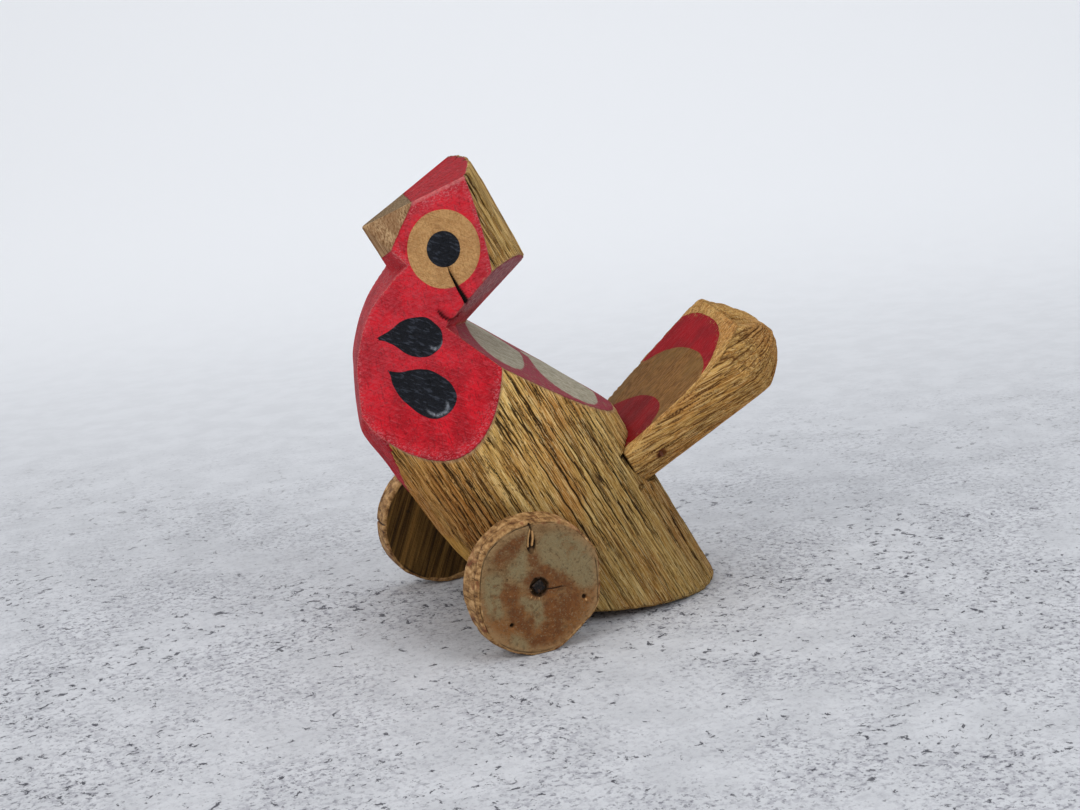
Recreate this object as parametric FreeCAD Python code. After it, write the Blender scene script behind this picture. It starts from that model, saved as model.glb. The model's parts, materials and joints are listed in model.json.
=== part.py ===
import FreeCAD, Part
import math
import os

from FreeCAD import Placement, Rotation, Vector

os.makedirs("parts", exist_ok=True)

# ---------------------------------------------------------------- driving dimensions (mm, degrees)
log_radius = 33.0            # debarked branch that makes the whole bird, head and body in one
log_lean = 26.85             # lean of the log, backwards from upright
carve_twist = -10.8          # turn of the carved bird about the log, relative to the wheels
head_end = 136.0             # sawn end of the log, the top of the head, along the log
bend_start = 88.0            # above this the branch bends a little, to the rear and right
bend_p, bend_q, bend_end = 1.5, 2.5, 140.0
heel_land = 9.0              # flat worn on the heel, where the bird drags on the floor
base_rise = 4.0              # slope of the rest of the sawn base, up towards the front
base_edge = 1.6              # softened rim of the base
shin_radius = 36.0           # flatter, scraped front of the lower log
shin = [(-60.0, 24.0), (28.0, 28.4), (38.0, 30.6), (46.0, 31.5), (60.0, 32.2), (72.0, 33.6)]  # (s, front radius)

side_s, side_p, side_q, side_d = 0.450, -0.370, 0.812, 62.2   # the two flat sides of head and chest
back_d, back_k, back_q = 112.0, 1.89, 0.17                    # sloped back, a very low ridge
jaw_s, jaw_p, jaw_q = 93.5, 0.266, 0.505                      # underside of the head, a low keel
bill_p, bill_q = -1.7, 0.47                                   # front of the bill below its tip
breast_skew, breast_side = 0.08, -13.0                        # the breast falls back a little to the right
breast = [(121.9, 3.2), (121.2, 0.0), (119.7, -4.0), (118.1, -8.1), (116.2, -12.0), (113.3, -16.0),
          (110.3, -19.3), (105.0, -24.1), (100.0, -26.6), (96.0, -28.3), (91.0, -30.7), (86.0, -33.4), (83.0, -35.2)]

slot_floor = 26.5            # flat seat of the tail in the back of the log
slot_top = 42.0              # sawn upper shoulder of that seat
tail_radius = 21.3           # branch the tail is split from
tail_axis_s = 44.6           # its axis at the seat
tail_axis_rise = 0.075
flat_s, flat_k = 39.4, 0.296  # split face of the tail: s = flat_s + flat_k * (p - 27)
tail_end = [(60.0, 71.0), (54.4, 74.5), (52.6, 77.8), (49.6, 81.4), (46.0, 84.0), (42.5, 85.5), (38.5, 85.7), (34.5, 84.2),
            (31.2, 81.2), (28.2, 76.2), (25.8, 70.6), (21.0, 62.0)]   # rounded end, (s, p)
tip_centre = (58.0, 2.5, 44.0)   # (p, q, s) of the rounding that makes the end full like a thumb
tip_radii = (28.4, 24.5, 23.0)

wheel_radius = {"left": 19.6, "right": 20.4}
axle_x = {"left": -36.6, "right": -35.5}
wheel_thickness = 9.4
wheel_inner = 33.4           # inner face of each wheel from the middle plane
nail_radius = 1.1
nail_clearance = 0.06
nail_start = 6.0             # inner end of each axle nail from the middle plane
nail_head = 3.2              # square head, across flats
nail_head_depth = 1.2
nail_head_turn = 28.0
head_sink = 1.35             # depth of the worn hollow around the head
head_gap = 0.25
hollow_radius = 3.1

tack_radius = 0.7            # small nail through the root of the tail
tack_head_radius = 1.3
tack_head_depth = 0.5
tack_length = 21.0

# ---------------------------------------------------------------- frames
lean = math.radians(log_lean)
to_world = Placement(Vector(0, 0, 0), Rotation(Vector(0, 1, 0), -log_lean)).multiply(
    Placement(Vector(0, 0, 0), Rotation(Vector(0, 0, 1), carve_twist)))


def placed(shape, placement):
    s = shape.copy()
    s.Placement = placement.multiply(s.Placement)
    return s


def beyond(n, d, size=400.0):
    """Block filling n.x > d, with x = (p, q, s) along the log's own axes."""
    v = Vector(*n)
    length = v.Length
    v = v * (1.0 / length)
    box = Part.makeBox(size, size, size, Vector(-size / 2, -size / 2, 0))
    return placed(box, Placement(v * (d / length), Rotation(Vector(0, 0, 1), v)))


def prism_q(points, half=80.0, spline=None, skew=0.0, pivot=0.0):
    """Outline in (s, p) pushed both ways along q; the first `spline` points are joined smoothly."""
    pts = [Vector(p - skew * (half + pivot), -half, s) for s, p in points]
    edges = []
    if spline:
        c = Part.BSplineCurve()
        c.interpolate(pts[:spline])
        edges.append(c.toShape())
        rest = pts[spline - 1:] + [pts[0]]
    else:
        rest = pts + [pts[0]]
    for a, b in zip(rest, rest[1:]):
        edges.append(Part.LineSegment(a, b).toShape())
    face = Part.Face(Part.Wire(edges))
    return face.extrude(Vector(2 * half * skew, 2 * half, 0))


def ring(s, p, q, r):
    return Part.Wire([Part.makeCircle(r, Vector(p, q, s), Vector(0, 0, 1))])


# ---------------------------------------------------------------- the log: head and body in one piece
log = Part.makeCylinder(log_radius, bend_start + 50.0, Vector(0, 0, -50.0))
log = log.fuse(Part.makeLoft([ring(bend_start, 0, 0, log_radius), ring(bend_end, bend_p, bend_q, log_radius)], True, True))
scrape = Part.makeBox(200, 200, 130, Vector(-100, -100, -58)).cut(
    Part.makeLoft([ring(s, shin_radius - f, 0, shin_radius) for s, f in shin], True, True))
log = log.cut(scrape.common(beyond((0, 0, -1), -shin[-1][0])))

heel_x = log_radius / math.cos(lean)
land_x = heel_x - heel_land
below = Part.makeBox(300, 300, 100, Vector(-150, -150, -100))
slope = Part.makeBox(300, 300, 100, Vector(-300, -150, -100))
slope = placed(slope, Placement(Vector(land_x, 0, 0), Rotation(Vector(0, 1, 0), base_rise)))
body = placed(log, to_world).cut(below).cut(slope)
rim = []
for e in body.Edges:
    z = [v.Point.z for v in e.Vertexes]
    if max(z) < 12.0 and e.Length > 8.0 and e.Curve.__class__.__name__ != "Line":
        rim.append(e)
try:
    soft = body.makeFillet(base_edge, rim)
    if soft.isValid() and soft.Volume > 0.98 * body.Volume:
        body = soft
        print("base rim softened on", len(rim), "edges")
except Exception as err:
    print("base rim left sharp:", err)

body = placed(body, to_world.inverse())                    # work along the log from here
body = body.cut(beyond((0, 0, 1), head_end))
front = prism_q(breast + [(60.0, -70.0), (170.0, -70.0), (170.0, 3.2)], spline=len(breast),
                skew=breast_skew, pivot=breast_side)
for sign in (1, -1):
    body = body.cut(front.common(beyond((-1, sign * bill_q, 0), -bill_p)))
for a in (1, -1):
    back = beyond((back_k, a * back_q, 1), back_d)
    for b in (1, -1):
        body = body.cut(back.common(beyond((jaw_p, b * jaw_q, -1), -jaw_s)))
for sign in (1, -1):
    body = body.cut(beyond((side_p, sign * side_q, side_s), side_d))

# ---------------------------------------------------------------- the tail: a split branch
tail_axis = Vector(1, 0, tail_axis_rise)
branch = Part.makeCylinder(tail_radius, 90.0, Vector(slot_floor - 10.0, 0, tail_axis_s - 10.0 * tail_axis_rise), tail_axis)
seat = branch.cut(beyond((0, 0, 1), slot_top)).cut(beyond((-1, 0, 0), -slot_floor))
tail = branch.cut(beyond((-flat_k, 0, 1), flat_s - 27.0 * flat_k)).cut(beyond((-1, 0, 0), -slot_floor))
tail = tail.common(prism_q(tail_end + [(0.0, 20.0), (70.0, 20.0)], spline=len(tail_end)))
ball = Part.makeSphere(1.0)
m = FreeCAD.Matrix()
m.scale(Vector(*tip_radii))
m.move(Vector(*tip_centre))
ball = ball.transformGeometry(m)
root = tail.common(beyond((-1, 0, 0), -tip_centre[0]))
tip = tail.common(beyond((1, 0, 0), tip_centre[0])).common(ball)
tail = root.fuse(tip).removeSplitter()
body = body.cut(seat)

body = placed(body, to_world)
tail = placed(tail, to_world)

# ---------------------------------------------------------------- tack through the tail's root
origin = to_world.multVec(Vector(0, 0, 0))
tack_dir = to_world.multVec(Vector(-0.86, 0.50, 0.06)) - origin
tack_dir.normalize()
start = to_world.multVec(Vector(36.2, -18.0, 34.5)) - tack_dir * 20.0
probe = Part.makeLine(start, start + tack_dir * 60.0).common(tail)
first = min((v.Point - start).dot(tack_dir) for v in probe.Vertexes)
seat_pt = start + tack_dir * (first + 0.75)               # underside of the head, let into the wood
tack = Part.makeCylinder(tack_radius, tack_length, seat_pt, tack_dir)
tack = tack.fuse(Part.makeCylinder(tack_head_radius, tack_head_depth, seat_pt - tack_dir * tack_head_depth, tack_dir))
tack = tack.removeSplitter()
pocket = Part.makeCylinder(tack_head_radius, 6.0, seat_pt - tack_dir * 6.0, tack_dir)
shank = Part.makeCylinder(tack_radius, tack_length, seat_pt, tack_dir)
tail = tail.cut(pocket).cut(shank)
body = body.cut(shank)

# ---------------------------------------------------------------- wheels and their axle nails
parts = {}
seat_z = wheel_inner + wheel_thickness - head_sink
for name, side in (("left", -1), ("right", 1)):
    r = wheel_radius[name]
    disc = Part.makeCylinder(r, wheel_thickness, Vector(0, 0, wheel_inner))
    disc = disc.makeChamfer(0.5, [e for e in disc.Edges if e.Curve.__class__.__name__ == "Circle"])
    disc = disc.cut(Part.makeCylinder(nail_radius + nail_clearance, 60.0))
    disc = disc.cut(Part.makeCylinder(hollow_radius, 20.0, Vector(0, 0, seat_z)))
    nail = Part.makeCylinder(nail_radius, seat_z + head_gap - nail_start, Vector(0, 0, nail_start))
    half = nail_head / 2
    cap = Part.makeBox(nail_head, nail_head, nail_head_depth, Vector(-half, -half, seat_z + head_gap))
    cap = placed(cap, Placement(Vector(0, 0, 0), Rotation(Vector(0, 0, 1), nail_head_turn)))
    nail = nail.fuse(cap).removeSplitter()
    hole = Part.makeCylinder(nail_radius, 60.0, Vector(0, 0, nail_start))
    frame = Placement(Vector(axle_x[name], 0, r), Rotation(Vector(0, 0, 1), Vector(0, side, 0)))
    parts["wheel_" + name] = placed(disc, frame)
    parts["axle_nail_" + name] = placed(nail, frame)
    body = body.cut(placed(hole, frame))

parts["body_log"] = body
parts["tail"] = tail
parts["tail_tack"] = tack

# ---------------------------------------------------------------- origin: middle of the footprint box, on the floor
box = FreeCAD.BoundBox()
for shape in parts.values():
    box.add(shape.optimalBoundingBox(True, False))
shift = Vector(-(box.XMin + box.XMax) / 2, -(box.YMin + box.YMax) / 2, -box.ZMin)
print("box", [round(v, 3) for v in (box.XLength, box.YLength, box.ZLength)], "shift", [round(v, 4) for v in shift])
for name in ("left", "right"):
    print("axle", name, round(axle_x[name] + shift.x, 4), round(shift.y, 4), round(wheel_radius[name] + shift.z, 4))
print("heel land centre", round((land_x + heel_x) / 2 + shift.x, 4), round(shift.y, 4), round(shift.z, 4))
for name, shape in sorted(parts.items()):
    s = placed(shape, Placement(shift, Rotation()))
    print(name, "valid", s.isValid(), "solids", len(s.Solids), "volume", round(s.Volume, 1))
    s.exportStep("parts/" + name + ".step")
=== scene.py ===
import bpy
import json
import math
import numpy as np
from mathutils import Matrix, Vector

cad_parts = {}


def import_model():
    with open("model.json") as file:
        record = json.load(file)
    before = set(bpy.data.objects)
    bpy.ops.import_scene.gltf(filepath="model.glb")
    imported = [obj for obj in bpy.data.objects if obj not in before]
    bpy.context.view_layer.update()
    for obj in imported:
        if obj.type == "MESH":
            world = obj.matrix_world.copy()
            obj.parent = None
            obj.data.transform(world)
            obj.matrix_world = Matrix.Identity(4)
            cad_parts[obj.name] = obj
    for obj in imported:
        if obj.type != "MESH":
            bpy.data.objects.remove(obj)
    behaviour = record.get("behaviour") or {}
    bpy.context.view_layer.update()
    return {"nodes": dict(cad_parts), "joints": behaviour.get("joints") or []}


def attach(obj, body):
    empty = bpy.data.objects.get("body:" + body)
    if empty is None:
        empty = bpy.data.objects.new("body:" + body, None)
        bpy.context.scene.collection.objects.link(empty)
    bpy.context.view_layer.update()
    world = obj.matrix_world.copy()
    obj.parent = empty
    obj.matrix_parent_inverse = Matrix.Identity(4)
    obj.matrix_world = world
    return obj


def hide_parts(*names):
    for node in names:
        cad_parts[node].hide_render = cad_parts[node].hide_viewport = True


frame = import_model()
MM = 0.001
RNG = np.random.default_rng(20261)

# ------------------------------------------------------------------ frames (mm)
LEAN = math.radians(26.85)
TWIST = math.radians(-10.8)
joints = {j["name"]: j for j in frame["joints"]}
AX = {"left": np.array(joints["wheel_left_spin"]["pos_m"]) * 1000.0,
      "right": np.array(joints["wheel_right_spin"]["pos_m"]) * 1000.0}
SHIFT = np.array([AX["left"][0] + 36.6, 0.0, AX["left"][2] - 19.6])
U = np.array([-math.sin(LEAN), 0.0, math.cos(LEAN)])
B = np.array([math.cos(LEAN), 0.0, math.sin(LEAN)])
Y = np.array([0.0, 1.0, 0.0])
PV = math.cos(TWIST) * B + math.sin(TWIST) * Y
QV = -math.sin(TWIST) * B + math.cos(TWIST) * Y


def world(s, p, q):
    """Log coordinates in mm to metres in the part's frame."""
    s, p, q = np.broadcast_arrays(np.asarray(s, float), np.asarray(p, float), np.asarray(q, float))
    return (s[..., None] * U + p[..., None] * PV + q[..., None] * QV + SHIFT) * MM


# ------------------------------------------------------------------ noise and small maths
def smooth(a, b, x):
    t = np.clip((x - a) / (b - a), 0.0, 1.0)
    return t * t * (3.0 - 2.0 * t)


class Noise2:
    """Smooth value noise on a plane; px is the period along x in cells (0: none)."""

    def __init__(self, seed, px=0):
        self.r = np.random.default_rng(seed).random((256, 256))
        self.px = px

    def _at(self, i, j):
        if self.px:
            i = np.mod(i, self.px)
        return self.r[np.mod(i * 37 + j * 101 + (i * j) % 7, 256), np.mod(j * 59 + i * 13, 256)]

    def __call__(self, x, y):
        i = np.floor(x).astype(int)
        j = np.floor(y).astype(int)
        u = x - i
        v = y - j
        u = u * u * (3 - 2 * u)
        v = v * v * (3 - 2 * v)
        a = self._at(i, j) * (1 - u) + self._at(i + 1, j) * u
        b = self._at(i, j + 1) * (1 - u) + self._at(i + 1, j + 1) * u
        return a * (1 - v) + b * v


def n3(seed, P, size):
    """Cheap 3-D noise in 0..1 from three planes, for chips and unevenness."""
    a, b, c = Noise2(seed), Noise2(seed + 1), Noise2(seed + 2)
    x, y, z = P[..., 0] / size, P[..., 1] / size, P[..., 2] / size
    return (a(x + 0.31 * z, y) + b(y + 0.27 * x, z) + c(z + 0.23 * y, x)) / 3.0


def softmin(rays, k=70.0):
    stack = np.stack(rays)
    m = stack.min(0)
    m = np.maximum(m, 1e-6)
    return m * (np.sum((m / np.maximum(stack, 1e-6)) ** k, axis=0)) ** (-1.0 / k)


def ray_plane(nx, ny, d, cx, cy, dx, dy):
    """Length of the ray from (cx, cy) along (dx, dy) that stays in nx x + ny y <= d."""
    num = d - (nx * cx + ny * cy)
    den = nx * dx + ny * dy
    out = np.where(den > 1e-9, num / np.maximum(den, 1e-9), 1e4)
    return np.where(num <= 0, 0.0, out)


def ray_circle(ox, oy, r, cx, cy, dx, dy):
    fx, fy = cx - ox, cy - oy
    b = fx * dx + fy * dy
    c = fx * fx + fy * fy - r * r
    return -b + np.sqrt(np.maximum(b * b - c, 0.0))


def poly_sd(px, py, poly):
    """Signed distance in mm to a closed outline, positive inside."""
    poly = np.asarray(poly, float)
    d2 = np.full(px.shape, 1e9)
    inside = np.zeros(px.shape, bool)
    for (x0, y0), (x1, y1) in zip(poly, np.roll(poly, -1, axis=0)):
        ex, ey = x1 - x0, y1 - y0
        t = np.clip(((px - x0) * ex + (py - y0) * ey) / (ex * ex + ey * ey + 1e-12), 0, 1)
        d2 = np.minimum(d2, (px - x0 - t * ex) ** 2 + (py - y0 - t * ey) ** 2)
        cross = ((y0 > py) != (y1 > py)) & (px < (x1 - x0) * (py - y0) / (y1 - y0 + 1e-12) + x0)
        inside ^= cross
    return np.where(inside, 1.0, -1.0) * np.sqrt(d2)


def line_d(px, py, pts):
    """Distance to an open line, and how far along it (0..1)."""
    pts = np.asarray(pts, float)
    seg = np.hypot(*(pts[1:] - pts[:-1]).T)
    total, run = seg.sum(), 0.0
    best = np.full(px.shape, 1e9)
    along = np.zeros(px.shape)
    for (x0, y0), (x1, y1), l in zip(pts[:-1], pts[1:], seg):
        t = np.clip(((px - x0) * (x1 - x0) + (py - y0) * (y1 - y0)) / (l * l + 1e-12), 0, 1)
        d = np.hypot(px - x0 - t * (x1 - x0), py - y0 - t * (y1 - y0))
        along = np.where(d < best, (run + t * l) / total, along)
        best = np.minimum(best, d)
        run += l
    return best, along


def rounded(points, n=4):
    """Closed smooth curve through points (Catmull-Rom)."""
    p = np.asarray(points, float)
    out = []
    for i in range(len(p)):
        a, b, c, d = p[i - 1], p[i], p[(i + 1) % len(p)], p[(i + 2) % len(p)]
        for t in np.linspace(0, 1, n, endpoint=False):
            out.append(0.5 * ((2 * b) + (c - a) * t + (2 * a - 5 * b + 4 * c - d) * t * t + (3 * b - a - 3 * c + d) * t ** 3))
    return np.array(out)


# ------------------------------------------------------------------ mesh helpers
def grid_faces(rows, cols, wrap=True):
    i = np.arange(rows - 1)[:, None]
    j = np.arange(cols if wrap else cols - 1)[None, :]
    j1 = (j + 1) % cols
    a = i * cols + j
    b = i * cols + j1
    c = (i + 1) * cols + j1
    d = (i + 1) * cols + j
    return np.stack(np.broadcast_arrays(a, b, c, d), -1).reshape(-1, 4)


def make(name, verts, faces, material, attrs=None, vattrs=None, smooth_shade=True):
    verts = np.asarray(verts, np.float32).reshape(-1, 3)
    me = bpy.data.meshes.new(name)
    me.vertices.add(len(verts))
    me.vertices.foreach_set("co", verts.ravel())
    sizes = np.array([len(f) for f in faces], np.int32) if not isinstance(faces, np.ndarray) else np.full(len(faces), faces.shape[1], np.int32)
    flat = np.concatenate([np.asarray(f, np.int32).ravel() for f in faces]) if not isinstance(faces, np.ndarray) else faces.astype(np.int32).ravel()
    me.loops.add(len(flat))
    me.loops.foreach_set("vertex_index", flat)
    me.polygons.add(len(sizes))
    starts = np.concatenate([[0], np.cumsum(sizes)[:-1]]).astype(np.int32)
    me.polygons.foreach_set("loop_start", starts)
    me.polygons.foreach_set("loop_total", sizes)
    me.update(calc_edges=True)
    me.validate()
    for k, v in (attrs or {}).items():
        me.attributes.new(k, "FLOAT", "POINT").data.foreach_set("value", np.asarray(v, np.float32).ravel())
    for k, v in (vattrs or {}).items():
        me.attributes.new(k, "FLOAT_VECTOR", "POINT").data.foreach_set("vector", np.asarray(v, np.float32).ravel())
    me.polygons.foreach_set("use_smooth", np.full(len(me.polygons), smooth_shade, bool))
    me.materials.append(material)
    ob = bpy.data.objects.new(name, me)
    bpy.context.scene.collection.objects.link(ob)
    return ob


def fix_normals(ob):
    import bmesh
    bm = bmesh.new()
    bm.from_mesh(ob.data)
    bmesh.ops.recalc_face_normals(bm, faces=bm.faces)
    bm.to_mesh(ob.data)
    bm.free()


# ------------------------------------------------------------------ node helper
class G:
    """Small builder for shader node graphs."""

    def __init__(self, name):
        self.mat = bpy.data.materials.new(name)
        self.mat.use_nodes = True
        self.t = self.mat.node_tree
        self.t.nodes.clear()
        self.out = self.t.nodes.new("ShaderNodeOutputMaterial")
        self.bsdf = self.t.nodes.new("ShaderNodeBsdfPrincipled")
        self.t.links.new(self.bsdf.outputs[0], self.out.inputs[0])

    def put(self, node, socket, value):
        s = node.inputs[socket]
        if isinstance(value, bpy.types.NodeSocket):
            self.t.links.new(value, s)
        elif value is not None:
            s.default_value = value

    def math(self, op, a, b=None, c=None, clamp=False):
        n = self.t.nodes.new("ShaderNodeMath")
        n.operation = op
        n.use_clamp = clamp
        self.put(n, 0, a)
        if b is not None:
            self.put(n, 1, b)
        if c is not None:
            self.put(n, 2, c)
        return n.outputs[0]

    def add(self, a, b):
        return self.math("ADD", a, b)

    def sub(self, a, b):
        return self.math("SUBTRACT", a, b)

    def mul(self, a, b):
        return self.math("MULTIPLY", a, b)

    def ramp(self, x, a, b, lo=0.0, hi=1.0):
        n = self.t.nodes.new("ShaderNodeMapRange")
        n.interpolation_type = "SMOOTHSTEP"
        n.clamp = True
        self.put(n, 0, x)
        self.put(n, 1, a)
        self.put(n, 2, b)
        self.put(n, 3, lo)
        self.put(n, 4, hi)
        return n.outputs[0]

    def attr(self, name, vector=False):
        n = self.t.nodes.new("ShaderNodeAttribute")
        n.attribute_type = "GEOMETRY"
        n.attribute_name = name
        return n.outputs["Vector"] if vector else n.outputs["Fac"]

    def parts(self, v):
        n = self.t.nodes.new("ShaderNodeSeparateXYZ")
        self.put(n, 0, v)
        return n.outputs[0], n.outputs[2]

    def side(self, v):
        n = self.t.nodes.new("ShaderNodeSeparateXYZ")
        self.put(n, 0, v)
        return n.outputs[1]

    def times(self, colour, f):
        n = self.t.nodes.new("ShaderNodeVectorMath")
        n.operation = "SCALE"
        self.put(n, 0, colour)
        self.put(n, "Scale", f)
        return n.outputs[0]

    def mul3(self, colour, rgb):
        n = self.t.nodes.new("ShaderNodeVectorMath")
        n.operation = "MULTIPLY"
        self.put(n, 0, colour)
        n.inputs[1].default_value = rgb
        return n.outputs[0]

    def turned(self, v, x, y, z):
        n = self.t.nodes.new("ShaderNodeMapping")
        self.put(n, 0, v)
        n.inputs[2].default_value = (x, y, z)
        return n.outputs[0]

    def scaled(self, v, x, y, z, off=(0, 0, 0)):
        n = self.t.nodes.new("ShaderNodeMapping")
        self.put(n, 0, v)
        n.inputs[1].default_value = off
        n.inputs[3].default_value = (x, y, z)
        return n.outputs[0]

    def noise(self, v, scale, detail=3.0, rough=0.55, dist=0.0):
        n = self.t.nodes.new("ShaderNodeTexNoise")
        self.put(n, "Vector", v)
        n.inputs["Scale"].default_value = scale
        n.inputs["Detail"].default_value = detail
        n.inputs["Roughness"].default_value = rough
        n.inputs["Distortion"].default_value = dist
        return n.outputs[0]

    def voronoi(self, v, scale, feature="F1"):
        n = self.t.nodes.new("ShaderNodeTexVoronoi")
        n.feature = feature
        self.put(n, "Vector", v)
        n.inputs["Scale"].default_value = scale
        return n.outputs["Distance"]

    def mix(self, f, a, b, mode="MIX"):
        n = self.t.nodes.new("ShaderNodeMix")
        n.data_type = "RGBA"
        n.blend_type = mode
        n.clamp_factor = True
        self.put(n, 0, f)
        for i, c in ((6, a), (7, b)):
            if isinstance(c, bpy.types.NodeSocket):
                self.t.links.new(c, n.inputs[i])
            else:
                n.inputs[i].default_value = c
        return n.outputs[2]

    def colours(self, x, stops):
        n = self.t.nodes.new("ShaderNodeValToRGB")
        self.put(n, 0, x)
        e = n.color_ramp.elements
        while len(e) < len(stops):
            e.new(0.5)
        for el, (pos, col) in zip(e, stops):
            el.position = pos
            el.color = col
        return n.outputs[0]

    def bump(self, height, strength, distance, base=None):
        n = self.t.nodes.new("ShaderNodeBump")
        n.inputs["Strength"].default_value = strength
        n.inputs["Distance"].default_value = distance
        self.put(n, "Height", height)
        if base is not None:
            self.put(n, "Normal", base)
        return n.outputs[0]

    def finish(self, colour, rough, normal=None, spec=0.5):
        self.put(self.bsdf, "Base Color", colour)
        self.put(self.bsdf, "Roughness", rough)
        self.bsdf.inputs["Specular IOR Level"].default_value = spec
        if normal is not None:
            self.put(self.bsdf, "Normal", normal)
        return self.mat


def srgb(r, g, b):
    def f(c):
        c = c / 255.0
        return c / 12.92 if c <= 0.04045 else ((c + 0.055) / 1.055) ** 2.4
    return (f(r), f(g), f(b), 1.0)


# ------------------------------------------------------------------ drying cracks of weathered, debarked wood
def stamped(seed, arc, along, period, span, specs, wander=0.8):
    """Separate drying cracks, each nearly straight along the grain. specs: (count, length, width, depth) in mm."""
    rng = np.random.default_rng(seed)
    depth = np.zeros(arc.shape)
    dark = np.zeros(arc.shape)
    lo, hi = span
    fa, fs = arc.ravel(), along.ravel()
    d_out, k_out = depth.ravel(), dark.ravel()
    order = np.argsort(fa)
    sa_ = fa[order]
    total = period if period else sa_[-1] - sa_[0]
    base = 0.0 if period else sa_[0]
    for count, length, width, deep in specs:
        for _ in range(count):
            a0 = base + rng.random() * total
            L = length * (0.45 + 1.1 * rng.random())
            s0 = lo + (hi - lo + L) * rng.random() - L
            w = width * (0.6 + 0.8 * rng.random())
            dp = deep * (0.5 + rng.random())
            ph, fr, am = rng.random() * 6.3, 0.06 + 0.08 * rng.random(), wander * (0.1 + 0.35 * rng.random())
            ph2 = rng.random() * 6.3
            reach = am * 1.5 + 3.2 * w + 0.3
            i0, i1 = np.searchsorted(sa_, a0 - reach), np.searchsorted(sa_, a0 + reach)
            idx = order[i0:i1]
            if period and a0 - reach < 0:
                idx = np.concatenate([idx, order[np.searchsorted(sa_, period + a0 - reach):]])
            if period and a0 + reach > period:
                idx = np.concatenate([idx, order[:np.searchsorted(sa_, a0 + reach - period)]])
            t = (fs[idx] - s0) / L
            sel = (t > 0) & (t < 1)
            idx, t = idx[sel], t[sel]
            if len(idx) == 0:
                continue
            x = fs[idx]
            line = a0 + am * np.sin(x * fr + ph) + 0.12 * np.sin(x * 0.9 + ph2)
            d = fa[idx] - line
            if period:
                d = np.mod(d + period / 2, period) - period / 2
            ww = w * np.clip(np.sin(np.pi * t), 0.02, 1) ** 0.6
            k = np.exp(-(d / ww) ** 2)
            d_out[idx] = np.maximum(d_out[idx], dp * k * np.clip(np.sin(np.pi * t) * 2.2, 0, 1))
            k_out[idx] = np.maximum(k_out[idx], k * min(1.0, 0.45 + 0.6 * dp))
    return d_out.reshape(arc.shape), k_out.reshape(arc.shape)


# ------------------------------------------------------------------ the log: head and body
def open_curve(points, n=10):
    p = np.asarray(points, float)
    p = np.vstack([2 * p[0] - p[1], p, 2 * p[-1] - p[-2]])
    out = []
    for i in range(1, len(p) - 2):
        a, b, c, d = p[i - 1], p[i], p[i + 1], p[i + 2]
        for t in np.linspace(0, 1, n, endpoint=False):
            out.append(0.5 * ((2 * b) + (c - a) * t + (2 * a - 5 * b + 4 * c - d) * t * t + (3 * b - a - 3 * c + d) * t ** 3))
    out.append(p[-2])
    return np.array(out)


LOG_R = 33.0
BREAST = open_curve([(80.0, -36.6), (83.0, -35.3), (86.0, -34.0), (91.0, -31.6), (96.0, -29.0), (100.0, -26.9), (105.0, -24.1), (110.3, -19.3),
                     (113.3, -16.0), (116.2, -12.0), (118.1, -8.1), (119.7, -4.0), (121.2, 0.0), (121.9, 3.2)])
SHIN = np.array([(-60.0, 24.0), (28.0, 28.4), (38.0, 30.6), (46.0, 31.5), (60.0, 32.2), (72.0, 33.6)])
EYE = (121.98, 13.79, 15.28)
DROP1 = rounded([(108.9, -15.6), (109.4, -10.9), (110.2, -7.3), (110.0, -4.4), (108.6, -0.7), (106.2, 0.6), (103.9, 1.0), (101.5, -0.1),
                 (100.1, -1.6), (99.4, -3.9), (99.3, -6.4), (100.6, -9.2), (102.5, -10.9), (105.2, -12.2), (107.4, -13.8)])
DROP2 = rounded([(101.1, -17.7), (100.0, -17.2), (98.7, -15.0), (98.1, -12.4), (97.3, -9.9), (96.0, -7.7), (93.8, -6.1), (91.2, -4.9),
                 (88.3, -5.0), (86.4, -6.0), (84.7, -8.3), (83.9, -11.2), (84.1, -13.6), (85.2, -15.5), (87.4, -17.1), (90.3, -18.2),
                 (93.0, -18.9), (96.5, -18.7), (99.1, -17.8)])
CRACK = [(118.0, 12.3), (115.6, 11.8), (111.2, 11.5), (108.6, 11.5), (106.4, 11.2)]
NECK_CUT = [(110.0, 3.6), (108.3, 3.4), (106.6, 3.7), (105.1, 4.7), (104.0, 6.4), (103.6, 8.4)]


def centre_p(s):
    return np.interp(s, [0, 60, 80, 95, 104, 112, 122, 136], [0, 0, -4, -8, -6, 4, 12, 14])


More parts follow.
